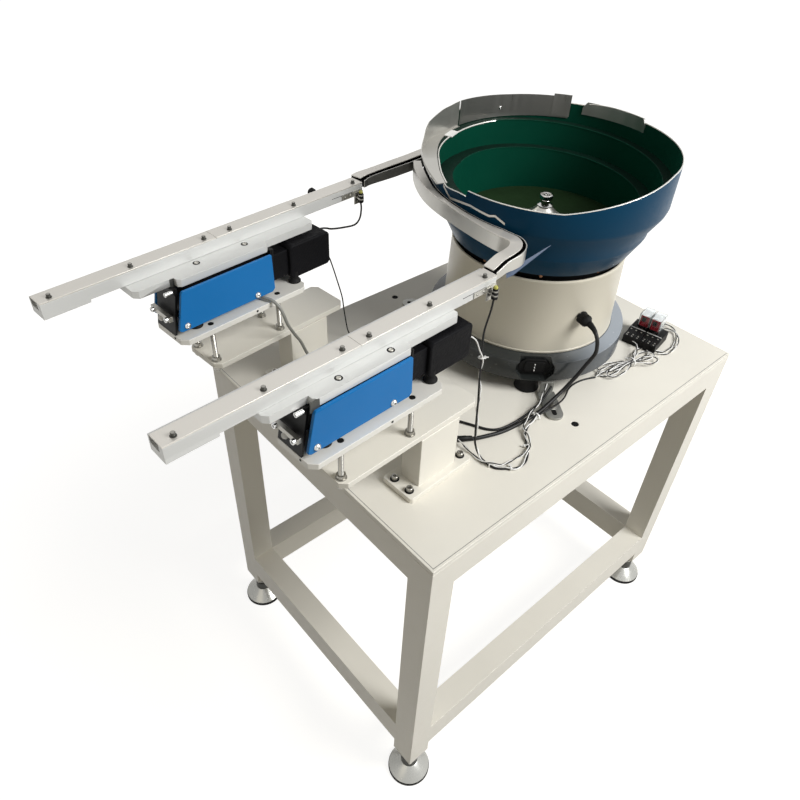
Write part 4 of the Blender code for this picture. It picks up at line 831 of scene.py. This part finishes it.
def drive(spec):
    tag = spec["tag"]
    base = on_track(spec)
    near, far = -0.029, 0.045
    piece = Piece(base)
    piece.put(box((-0.100, 0.074), (near, far), (0.246, 0.314)), "cast")
    piece.put(box((0.064, 0.140), (near + 0.010, far - 0.010), (0.250, 0.306)), "cast")
    piece.make(f"{tag}_drive_block", TABLE, "black_cast", bevel=0.0015, instead=(f"{tag}_drive_body",))
    cover = Piece(base).put(prism(chamfered(0.134, 0.2390, 0.2405, 0.3145, 0.006), near + 0.002, far - 0.002, "y"), "cast")
    cover.make(f"{tag}_coil_box", TABLE, "black_cast", bevel=0.0035, segments=3)
    bed = 0.2293
    feet = Piece(base)
    for x, high in ((-0.090, 0.250), (0.147, 0.254)):
        for y in (near + 0.010, far - 0.010):
            foot = [(0, bed), (0.0124, bed), (0.0131, bed + 0.0008), (0.0131, bed + 0.0030), (0.0118, bed + 0.0048), (0.0096, bed + 0.0070), (0.0086, bed + 0.0105), (0.0086, high), (0, high)]
            feet.put(turned(foot, 36), "rubber", at(x, y))
    feet.make(f"{tag}_drive_feet", TABLE, "rubber")
    dress([f"{tag}_housing"], "blue", 0.0012)
    screws = Piece(base)
    for x, z in ((-0.1158, 0.2500), (0.0425, 0.2480)):
        button_screw(screws, at(x, -0.0360, z, tilt=90), 0.0066, 0.0044)
        button_screw(screws, at(x, 0.0520, z, tilt=-90), 0.0066, 0.0044)
    screws.make(f"{tag}_side_screws", TABLE, "stainless")
    dress([f"{tag}_spring_front", f"{tag}_spring_rear"], "black", 0.0005)
    low = Piece(base)
    low.put(box((-0.1430, -0.1350), (-0.0240, 0.0380), (0.2620, 0.2720)), "zinc")
    for y in (-0.0180, 0.0285):
        cap_screw(low, at(-0.1430, y, 0.2670, lean=-90), 0.0050, 0.0060, "chrome")
    ball = [(0.0062 * math.sin(math.radians(a)), -0.0062 * math.cos(math.radians(a))) for a in range(0, 181, 15)]
    low.put(turned([(max(0.0, r) if 0 < k < 12 else 0, z) for k, (r, z) in enumerate(ball)], 24), "white", at(-0.1400, 0.0110, 0.2555))
    low.make(f"{tag}_spring_clamp", TABLE, "stainless", bevel=0.0008)
    top = Piece(base)
    for y in (-0.0190, 0.0300):
        cap_screw(top, at(-0.1260, y, 0.3165, lean=-90), 0.0044, 0.0140, "chrome")
    top.make(f"{tag}_spring_screws", f"{tag} track", "stainless")


def upper(spec):
    tag, shift, end = spec["tag"], spec["shift"], spec["rail_to"]
    body = f"{tag} track"
    base = on_track(spec)
    dress([f"{tag}_adapter"], "milled", 0.0008)
    dress([f"{tag}_rail"], "milled", 0.0005)
    near = -0.030 + shift
    heads = Piece(base)
    for x in (-0.053, 0.054):
        # A dark disc round each adapter screw: painted shade in its hole.
        heads.put(turned([(0, 0), (0.0068, 0), (0.0068, 0.0002), (0, 0.0002)], 24), "hollow", at(x, near + 0.017, 0.3363))
        cap_screw(heads, at(x, near + 0.017, 0.3364), 0.0044, 0.0010, "zinc")
    # A dark slate strip proud of the adapter's step end: painted shade on that face.
    heads.put(box((-0.1205, -0.1035), (near - 0.0012, near + 0.0010), (0.3165, 0.3360)), "slate")
    high = 0.3217 + 0.0145 + 0.0232 + 0.0006
    sheet = Piece(base)
    for x0, x1 in ((-0.331, 0.0030), (0.0036, end)):
        sheet.put(box((x0, x1), (shift, shift + 0.033), (high, high + 0.0028)), "cover")
    sheet.make(f"{tag}_cover_look", body, "stainless", bevel=0.0005, instead=(f"{tag}_rail_cover",))
    spots = (-0.309, -0.169, -0.026, 0.028, 0.162, 0.301) if tag == "near" else (-0.310, -0.166, -0.017, 0.040, 0.196, 0.359)
    for k, x in enumerate(spots):
        place = at(x, shift + 0.010, high + 0.0028, 37.0 * k)
        washer(heads, place, 0.0050, 0.0008, "slate")
        cap_screw(heads, place @ at(0, 0, 0.0008), 0.0036, 0.0056, "slate")
        heads.put(turned([(0, 0.0058), (0.0024, 0.0058), (0.0030, 0.0066), (0, 0.0066)], 16), "zinc", place)
    heads.make(f"{tag}_rail_screws", body, "stainless")
    edge = Piece(base)
    # A thin dark line along the rail's side: painted shade.
    edge.put(box((end - 0.088, end - 0.027), (shift - 0.0002, shift + 0.0002), (0.3490, 0.3500)), "hollow")
    if tag == "far":
        edge.put(turned([(0, 0), (0.0085, 0), (0.0095, 0.001), (0.0095, 0.007), (0.0080, 0.009), (0.0040, 0.0095), (0.0040, 0.012), (0, 0.012)], 20, hexed=(1, 2)), "black", at(0.2727, shift + 0.0393, 0.356, tilt=-90))
    edge.make(f"{tag}_rail_marks", body, "aluminium")
    low = 0.3217 + 0.0145 + 0.0003
    face = shift - 0.0003
    eye = Piece(base)
    eye.put(box((end - 0.060, end - 0.002), (face - 0.0016, face), (low + 0.002, low + 0.013)), "steel")
    eye.put(box((end - 0.026, end - 0.002), (face - 0.0035, face - 0.0012), (low - 0.016, low + 0.010)), "steel")
    spot = at(end - 0.015, face - 0.0115)
    eye.put(turned([(0, low - 0.0120), (0.0038, low - 0.0120), (0.0046, low - 0.0105), (0.0062, low - 0.0100), (0.0062, low + 0.0040), (0.0050, low + 0.0050), (0.0050, low + 0.0110), (0, low + 0.0110)], 28), "black", spot)
    hex_nut(eye, spot @ at(0, 0, low - 0.0040), 0.0072, 0.0028, "zinc")
    hex_nut(eye, spot @ at(0, 0, low + 0.0045), 0.0068, 0.0028, "zinc")
    eye.put(turned([(0, low + 0.0110), (0.0043, low + 0.0110), (0.0043, low + 0.0135), (0.0030, low + 0.0155), (0, low + 0.0160)], 28), "yellow", spot)
    eye.put(box((end - 0.0215, end - 0.0085), (face - 0.0135, face - 0.0030), (low - 0.0015, low + 0.0005)), "steel")
    for x in (end - 0.052, end - 0.036):
        button_screw(eye, at(x, face - 0.0016, low + 0.0075, tilt=90), 0.0022, 0.0014, "zinc")
    eye.make(f"{tag}_sensor_look", body, "black_plastic", instead=(f"{tag}_sensor",))


# ---------------------------------------------------------------- amplifiers


def amplifiers():
    """Two terminal blocks, each with a relay under a hinged clear cover at the back."""
    for number, (x, y, turn) in enumerate(((0.8727, 0.1863, 10.0), (0.8801, 0.1445, 10.0)), 1):
        base = ON_TABLE @ at(x, y, 0, turn)
        piece = Piece(base)
        piece.put(prism([(-0.040, 0.0003), (0.040, 0.0003), (0.040, 0.0260), (-0.006, 0.0260), (-0.022, 0.0205), (-0.040, 0.0205)], -0.0204, 0.0204, "y"), "black")
        piece.put(box((0.036, 0.048), (-0.0104, 0.0104), (0.008, 0.016)), "black")
        for yy in (-0.0204, -0.0068, 0.0068):
            piece.put(box((-0.0395, -0.0225), (yy, yy + 0.0016), (0.0200, 0.0235)), "black")
        piece.make(f"amplifier_look_{number}", TABLE, "black_plastic", bevel=0.0008, instead=(f"amplifier_{number}",))
        face = Piece(base)
        for yy in (-0.0125, 0.0010, 0.0138):
            for xx, zz in ((-0.0345, 0.0205), (-0.0262, 0.0205), (-0.0105, 0.0246)):
                face.put(turned([(0, 0), (0.0022, 0), (0.0022, 0.0010), (0.0014, 0.0014), (0, 0.0014)], 16), "zinc", at(xx, yy, zz))
        # A thin white strip along the edge of the raised step: a painted highlight on that edge.
        face.put(box((-0.0030, -0.0018), (-0.0190, 0.0190), (0.0258, 0.0274)), "white")
        mid = -0.0072 if number == 1 else 0.0072
        face.put(box((0.0040, 0.0360), (mid - 0.0120, mid + 0.0120), (0.0258, 0.0340)), "black")
        face.put(box((0.0055, 0.0360), (mid - 0.0118, mid + 0.0118), (0.0338, 0.0630)), "white")
        face.put(box((0.0040, 0.0056), (mid - 0.0110, mid + 0.0110), (0.0340, 0.0630)), "red")
        # A dark patch on the red window: painted shade seen through the window.
        face.put(box((0.0034, 0.0041), (mid - 0.0030, mid + 0.0070), (0.0470, 0.0590)), "hollow")
        face.make(f"amplifier_face_{number}", TABLE, "black_plastic", bevel=0.0005)
        cover = Piece(base)
        x0, x1, y0, y1, low, high, wall = 0.0, 0.040, mid - 0.0133, mid + 0.0133, 0.0263, 0.0680, 0.0010
        outer = [(x0, y0), (x1, y0), (x1, y1), (x0, y1)]
        inner = [(x0 + wall, y0 + wall), (x1 - wall, y0 + wall), (x1 - wall, y1 - wall), (x0 + wall, y1 - wall)]
        rows = [[(*p, low) for p in outer], [(*p, high) for p in outer], [(*p, high - wall) for p in inner], [(*p, low) for p in inner]]
        points = [p for row in rows for p in row]
        faces = [(4, 5, 6, 7), (11, 10, 9, 8)]
        for a, b in ((0, 4), (8, 12), (12, 0)):
            faces += [(a + i, a + (i + 1) % 4, b + (i + 1) % 4, b + i) for i in range(4)]
        cover.put((points, faces), "glass")
        cover.make(f"amplifier_cover_look_{number}", f"amplifier cover {number}", "clear_plastic", instead=(f"amplifier_{number}_cover",))


# ---------------------------------------------------------------- cords


def spread_cord(name, points, diameter, look, spacing, instead, slot):
    """A cord on the smooth curve through the points."""
    path = smooth(points, spacing)
    curve = bpy.data.curves.new(name, "CURVE")
    curve.dimensions = "3D"
    curve.bevel_depth = diameter / 2
    curve.bevel_resolution = 5
    curve.resolution_u = 5
    curve.use_fill_caps = True
    spline = curve.splines.new("BEZIER")
    spline.bezier_points.add(len(path) - 1)
    for point, place in zip(spline.bezier_points, path):
        point.co = place
        point.handle_left_type = point.handle_right_type = "AUTO"
    curve.materials.append(M[look])
    obj = bpy.data.objects.new(name, curve)
    bpy.context.scene.collection.objects.link(obj)
    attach(obj, TABLE)
    if instead:
        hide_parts(instead)
    length = sum((q - p).length for p, q in zip(path, path[1:]))
    tuple(path[0])
    return path


def cords():
    def flat(x, y, z):
        return ON_TABLE @ Vector((x, y, z))

    def near(x, y, z):
        return on_track(TRACKS[0]) @ Vector((x, y, z))

    def far(x, y, z):
        return on_track(TRACKS[1]) @ Vector((x, y, z))

    a = math.radians(-107.4)
    start = 0.1962 + 0.030
    exits = [(start + d, 0.178 + z) for d, z in ((0.001, 0), (0.0160, -0.0033), (0.0288, -0.0122), (0.0365, -0.0258), (0.0385, -0.0415), (0.0370, -0.0570))]
    points = [flat(0.650 + r * math.cos(a), 0.374 + r * math.sin(a), z) for r, z in exits]
    points += [flat(*p) for p in (
        (0.5650, 0.1285, 0.105), (0.5580, 0.1330, 0.087), (0.5485, 0.1380, 0.068), (0.5370, 0.1425, 0.052), (0.5250, 0.1460, 0.038), (0.4900, 0.1480, 0.022), (0.4550, 0.1485, 0.011),
        (0.4227, 0.1530, 0.0046), (0.3873, 0.1557, 0.00455), (0.3479, 0.1615, 0.00455), (0.3117, 0.1736, 0.00455), (0.2850, 0.1857, 0.00455), (0.2600, 0.2030, 0.00455),
    )]
    way = (points[-1] - points[-2]).normalized()
    turn = math.degrees(math.atan2(way.y, way.x))
    end = Piece(Matrix.Translation(points[-1]) @ at(turn=turn, lean=90))
    body = [(0, -0.030), (0.0048, -0.030), (0.0055, -0.026), (0.0058, -0.018), (0.0062, -0.017), (0.0063, 0.002), (0.0056, 0.0035), (0.0050, 0.006), (0, 0.006)]
    end.put(turned(body, 28), "black", at(-0.0020))
    connector = end.make("drive_cable_connector", TABLE, "black_plastic")
    sleeve = Piece().put(tube(smooth(points, 0.004)[:7], [0.0068, 0.0066, 0.0060, 0.0057, 0.0053, 0.0050, 0.0046], 20), "black")
    relief = sleeve.make("drive_cable_relief", TABLE, "black_plastic")
    spread_cord("drive_cable_look", points, 0.0085, "jacket", 0.018, "drive_cable", "cord_jacket")

    lead = [near(0.308, -0.0113, 0.3248), flat(0.3050, 0.2035, 0.300)]
    lead += [flat(*p) for p in (
        (0.2960, 0.2040, 0.2627), (0.2912, 0.2004, 0.2401), (0.2864, 0.1944, 0.2084), (0.2783, 0.1833, 0.1519), (0.2734, 0.1755, 0.1151),
        (0.2685, 0.1697, 0.0835), (0.2622, 0.1605, 0.0383), (0.2612, 0.1530, 0.0170), (0.2605, 0.1400, 0.0050), (0.2590, 0.1180, 0.0023),
        (0.2612, 0.1030, 0.0023), (0.2700, 0.0920, 0.0023), (0.2830, 0.0815, 0.0023), (0.2990, 0.0728, 0.0023), (0.3185, 0.0722, 0.0023), (0.3416, 0.0833, 0.0023),
        (0.3598, 0.1010, 0.0023), (0.3750, 0.1190, 0.0030), (0.3935, 0.1325, 0.0050), (0.4120, 0.1390, 0.0080), (0.4332, 0.1420, 0.0115),
        (0.4620, 0.1390, 0.0150), (0.4920, 0.1375, 0.0150), (0.5220, 0.1410, 0.0130), (0.5500, 0.1520, 0.0080), (0.5777, 0.1640, 0.0024),
        (0.6055, 0.1660, 0.0023), (0.6339, 0.1600, 0.0023), (0.6560, 0.1500, 0.0030),
    )]
    lead = spread_cord("near_sensor_cord", lead, 0.0040, "jacket", 0.022, "near_sensor_lead", "cord_jacket")
    fine = smooth(lead, 0.0085)
    start = min(range(len(fine)), key=lambda i: (fine[i] - flat(0.2864, 0.1944, 0.2084)).length)
    end = min(range(len(fine)), key=lambda i: (fine[i] - flat(0.4332, 0.1420, 0.0115)).length)
    box_lead = [near(0.2376, -0.012, 0.272), near(0.250, -0.014, 0.271), near(0.264, -0.018, 0.258), near(0.275, -0.020, 0.234)]
    for i in range(start, end + 1):
        way = (fine[i + 1] - fine[i - 1]).normalized()
        side = way.cross(Vector((0, 0, 1))) if abs(way.z) < 0.8 else way.cross(Vector((1, 0, 0)))
        side.normalize()
        over = side.cross(way).normalized()
        a = 0.0085 * (i - start) / 0.075 * 2 * math.pi
        box_lead.append(fine[i] + side * 0.0036 * math.cos(a) + over * 0.0040 * abs(math.sin(a)))
    spread_cord("near_box_cord", box_lead, 0.0027, "white", 0.012, "near_box_lead", "pale_jacket")
    cable_tie("lead_tie_1", fine[start], fine[start + 1] - fine[start], 0.0060)
    cable_tie("lead_tie_2", fine[end], fine[end + 1] - fine[end], 0.0085)
    for number, spot in enumerate((flat(0.2600, 0.1090, 0.0040), flat(0.2830, 0.0815, 0.0040), flat(0.3598, 0.1010, 0.0040)), 3):
        k = min(range(len(fine)), key=lambda i: (fine[i] - spot).length)
        cable_tie(f"lead_tie_{number}", fine[k] + Vector((0, 0, 0.0018)), fine[k + 1] - fine[k - 1], 0.0046)
    points = [flat(*p) for p in (
        (0.2567, 0.1977, 0.0105), (0.2553, 0.1690, 0.0040), (0.2535, 0.1443, 0.0020), (0.2530, 0.1260, 0.0040), (0.2600, 0.1120, 0.0090),
        (0.2700, 0.1010, 0.0050), (0.2837, 0.0960, 0.0020), (0.3066, 0.0925, 0.0020), (0.3282, 0.0890, 0.0035), (0.3500, 0.0900, 0.0085),
        (0.3684, 0.1020, 0.0060), (0.3800, 0.1180, 0.0100), (0.3900, 0.1390, 0.0080), (0.4080, 0.1480, 0.0100), (0.4310, 0.1540, 0.0170),
        (0.4582, 0.1590, 0.0210), (0.4818, 0.1680, 0.0250), (0.5035, 0.1790, 0.0290), (0.5140, 0.1850, 0.0330),
    )]
    pair_of_leads("lead_loop", points, None)
    points = [flat(*p) for p in (
        (0.2780, 0.2900, 0.0030), (0.2920, 0.2630, 0.0030), (0.3042, 0.2389, 0.0030), (0.3162, 0.2159, 0.0030), (0.3278, 0.1928, 0.0030), (0.3390, 0.1790, 0.0030),
        (0.3560, 0.1700, 0.0030), (0.3873, 0.1650, 0.0030), (0.4227, 0.1640, 0.0040), (0.4550, 0.1660, 0.0060), (0.4900, 0.1700, 0.0120), (0.5250, 0.1780, 0.0250),
    )]
    way = points[0] - points[1]
    plug = Piece(Matrix.Translation(points[0]) @ at(turn=math.degrees(math.atan2(way.y, way.x)), lean=90))
    plug.put(turned([(0, -0.006), (0.0034, -0.006), (0.0040, -0.002), (0.0042, 0.016), (0.0036, 0.018), (0, 0.018)], 24), "black", at(-0.0015))
    plug.make("second_cable_plug", TABLE, "black_plastic")
    spread_cord("second_cable", points, 0.0055, "jacket", 0.016, None, "cord_jacket")
    x, shift, low = 0.363, 0.0215, 0.3251
    points = [far(*p) for p in (
        (x, shift - 0.0113, low - 0.0003), (x + 0.001, shift - 0.012, low - 0.014), (x - 0.006, shift - 0.015, low - 0.033), (x - 0.024, shift - 0.018, low - 0.042),
        (x - 0.060, shift - 0.020, low - 0.036), (x - 0.092, shift - 0.018, 0.296), (0.253, 0.006, 0.303), (0.2385, 0.012, 0.302),
    )]
    spread_cord("far_sensor_cord", points, 0.0040, "jacket", 0.011, "far_sensor_lead", "cord_jacket")
    points = [far(*p) for p in (
        (0.054, -0.030, 0.2350), (0.0600, -0.0458, 0.2350), (0.0649, -0.0588, 0.2312), (0.0684, -0.0683, 0.2210), (0.0712, -0.0742, 0.2080),
        (0.0740, -0.0765, 0.1950), (0.0775, -0.0775, 0.1825), (0.0830, -0.0785, 0.1700), (0.0895, -0.0793, 0.1570), (0.0965, -0.0802, 0.1435), (0.104, -0.0810, 0.130),
        (0.1125, -0.0818, 0.108), (0.120, -0.0824, 0.088), (0.1275, -0.0832, 0.068), (0.135, -0.0838, 0.049), (0.1435, -0.0840, 0.0315),
        (0.154, -0.0840, 0.0170), (0.168, -0.0838, 0.0080), (0.183, -0.0830, 0.0045), (0.199, -0.0818, 0.0038), (0.215, -0.0800, 0.0036),
    )]
    way = (points[-1] - points[-2]).normalized()
    turn = math.degrees(math.atan2(way.y, way.x))
    end = Piece(Matrix.Translation(points[-1]) @ at(turn=turn, lean=90))
    body = [(0, -0.016), (0.0038, -0.016), (0.0044, -0.012), (0.0046, -0.004), (0.0052, -0.003), (0.0052, 0.012), (0.0044, 0.014), (0, 0.014)]
    end.put(turned(body, 28), "grey", at(-0.0018))
    connector = end.make("far_cable_connector", TABLE, "pale_jacket")
    spread_cord("far_drive_cord", points, 0.0065, "grey", 0.013, "far_drive_cable", "pale_jacket")
    points = [far(*p) for p in (
        (0.2380, -0.010, 0.2520), (0.2480, -0.010, 0.2460), (0.2574, -0.010, 0.2225), (0.2717, -0.010, 0.1766), (0.2860, -0.010, 0.1266), (0.2920, -0.010, 0.0852),
        (0.3030, -0.010, 0.0251), (0.3160, -0.011, 0.0060), (0.3400, -0.013, 0.0022),
    )]
    spread_cord("far_box_cord", points, 0.0030, "jacket", 0.010, None, "cord_jacket")
    hank_cord(flat)


def pair_of_leads(name, points, instead):
    """A pale and a dark lead turning slowly round each other along the points."""
    fine = smooth(points, 0.006)
    for look, slot, phase in (("white", "pale_jacket", 0.0), ("jacket", "cord_jacket", math.pi)):
        route = []
        for i, here in enumerate(fine):
            way = (fine[min(i + 1, len(fine) - 1)] - fine[max(i - 1, 0)]).normalized()
            side = way.cross(Vector((0, 0, 1))).normalized()
            a = phase + 2 * math.pi * 0.006 * i / 0.055
            route.append(here + side * 0.0014 * math.cos(a) + side.cross(way) * 0.0011 * (1 + math.sin(a)))
        spread_cord(f"{name}_{look}", route, 0.0021, look, 0.009, instead if look == "white" else None, slot)


def cable_tie(name, spot, way, radius):
    """A nylon tie round the leads that run along way."""
    turn = way.normalized().to_track_quat("Z", "Y").to_matrix().to_4x4()
    piece = Piece(Matrix.Translation(spot) @ turn)
    r = radius
    ring = [(r - 0.0011, -0.0014), (r, -0.0014), (r, 0.0014), (r - 0.0011, 0.0014), (r - 0.0011, -0.0014)]
    piece.put(turned(ring, 28), "white")
    piece.put(box((r - 0.0004, r + 0.0030), (-0.0024, 0.0024), (-0.0024, 0.0024)), "white")
    piece.put(box((r + 0.0026, r + 0.0080), (-0.0009, 0.0009), (-0.0009, 0.0009)), "white")
    piece.make(name, TABLE, "pale_jacket")


def hank_cord(flat):
    """The spare lead, folded to and fro through its tie."""
    tie = Vector((0.7630, 0.1265))
    lobes = (
        ((0.8440, 0.1400), 0.0140), ((0.6680, 0.1500), 0.0130), ((0.8380, 0.1180), 0.0140), ((0.6780, 0.1620), 0.0135),
        ((0.8240, 0.0960), 0.0140), ((0.6760, 0.1300), 0.0135),
    )
    points = [flat(0.6560, 0.1500, 0.0060), flat(0.6800, 0.1470, 0.0072), flat(0.7200, 0.1375, 0.0075)]
    for k, (tip, half) in enumerate(lobes):
        tip = Vector(tip)
        way = (tip - tie).normalized()
        side = Vector((-way.y, way.x))
        reach = (tip - tie).length
        low = 0.0022 + 0.0032 * (k // 2)
        for part, out, lift in (
            (0.00, -0.10, 1.0), (0.22, -0.45, 0.9), (0.50, -0.95, 0.5), (0.72, -1.00, 0.3), (0.88, -0.80, 0.2), (0.97, -0.42, 0.2), (1.00, 0.0, 0.2),
            (0.97, 0.42, 0.2), (0.88, 0.80, 0.2), (0.72, 1.00, 0.3), (0.50, 0.95, 0.5), (0.22, 0.45, 0.9),
        ):
            spot = tie + way * reach * part + side * half * out + Vector((0.0, 0.0050 * math.sin(1.1 * k) * (1 - part)))
            points.append(flat(spot.x, spot.y, low + 0.0045 * lift + 0.0012 * (part == 0) * (k % 2)))
    points += [flat(0.7760, 0.1300, 0.0150), flat(0.8000, 0.1400, 0.0180), flat(0.8250, 0.1580, 0.0150), flat(0.8345, 0.1720, 0.0120)]
    pair_of_leads("hank_cord", points, "hank")
    cable_tie("hank_tie", flat(tie.x, tie.y, 0.0105), Vector((1, -0.1, 0)), 0.0115)
    for number, points in enumerate((
        ((0.9130, 0.1950, 0.0120), (0.9380, 0.1990, 0.0100), (0.9600, 0.1920, 0.0070), (0.9730, 0.1720, 0.0060), (0.9720, 0.1460, 0.0060),
         (0.9520, 0.1220, 0.0050), (0.9200, 0.1070, 0.0030), (0.8900, 0.1030, 0.0014), (0.8680, 0.1080, 0.0014), (0.8560, 0.1200, 0.0040)),
        ((0.9200, 0.1520, 0.0120), (0.9420, 0.1580, 0.0090), (0.9580, 0.1500, 0.0060), (0.9600, 0.1310, 0.0050), (0.9400, 0.1090, 0.0080),
         (0.9100, 0.0970, 0.0040), (0.8800, 0.0945, 0.0014), (0.8620, 0.1010, 0.0014), (0.8500, 0.1110, 0.0040)),
    ), 1):
        pair_of_leads(f"amplifier_lead_{number}", [flat(*p) for p in points], None)


# ---------------------------------------------------------------- light


def floor_material():
    made = bpy.data.materials.new("studio_floor")
    made.use_nodes = True
    tree = made.node_tree
    tree.nodes.clear()
    out = add(tree, "OutputMaterial")
    matt = add(tree, "BsdfDiffuse", Color=(0.36, 0.34, 0.29, 1.0))
    glow = add(tree, "Emission", Color=(1.0, 1.0, 1.0, 1.0))
    both = add(tree, "AddShader")
    seen = white_ray(tree)
    place = add(tree, "TexCoord")
    far = add(tree, "VectorMath", operation="LENGTH")
    link(tree, place, "Object", far, 0)
    glow_level = add(tree, "MapRange", interpolation_type="SMOOTHSTEP")
    for slot, value in zip(range(1, 5), (0.7, 2.2, 0.87, 1.0)):
        glow_level.inputs[slot].default_value = value
    tree.links.new(far.outputs["Value"], glow_level.inputs[0])
    level = add(tree, "Math", operation="MULTIPLY")
    link(tree, glow_level, 0, level, 1)
    link(tree, seen, 0, level, 0)
    link(tree, level, 0, glow, "Strength")
    link(tree, matt, 0, both, 0)
    link(tree, glow, 0, both, 1)
    link(tree, both, 0, out, "Surface")
    return made


def white_ray(tree):
    """One for camera, glossy and transmission rays, zero for the rest."""
    path = add(tree, "LightPath")
    first = add(tree, "Math", operation="MAXIMUM")
    second = add(tree, "Math", operation="MAXIMUM")
    link(tree, path, "Is Camera Ray", first, 0)
    link(tree, path, "Is Glossy Ray", first, 1)
    link(tree, first, 0, second, 0)
    link(tree, path, "Is Transmission Ray", second, 1)
    return second


def lights():
    scene = bpy.context.scene
    scene.view_settings.view_transform = "Standard"
    world = bpy.data.worlds.new("studio")
    scene.world = world
    world.use_nodes = True
    tree = world.node_tree
    background = tree.nodes["Background"]
    background.inputs["Color"].default_value = (1.0, 1.0, 1.0, 1.0)
    level = add(tree, "MapRange")
    level.inputs[3].default_value = 0.155
    level.inputs[4].default_value = 1.0
    link(tree, white_ray(tree), 0, level, 0)
    link(tree, level, 0, background, "Strength")
    mesh = bpy.data.meshes.new("floor")
    mesh.from_pydata([(-12, -12, 0), (12, -12, 0), (12, 12, 0), (-12, 12, 0)], [], [(0, 1, 2, 3)])
    mesh.materials.append(floor_material())
    floor = bpy.data.objects.new("floor", mesh)
    scene.collection.objects.link(floor)
    for name, spot, size, power in (
        ("key", Vector((1.1, -2.3, 3.1)), 1.8, 120.0),
        ("fill", Vector((-2.6, -0.6, 2.6)), 2.2, 9.0),
    ):
        lamp = bpy.data.lights.new(name, "AREA")
        lamp.shape, lamp.size, lamp.energy = "DISK", size, power
        lamp.color = (1.0, 1.0, 1.0) if name == "key" else (1.0, 0.90, 0.70)
        obj = bpy.data.objects.new(name, lamp)
        scene.collection.objects.link(obj)
        aim = Vector((0.1, 0.0, 0.9)) - spot
        obj.matrix_world = Matrix.Translation(spot) @ aim.to_track_quat("-Z", "Y").to_matrix().to_4x4()


# ---------------------------------------------------------------- all of it


camera()
cords()
table()
base_and_casing()
gland()
bowl()
guards()
chutes()
for track in TRACKS:
    stand(track)
    drive(track)
    upper(track)
amplifiers()
lights()
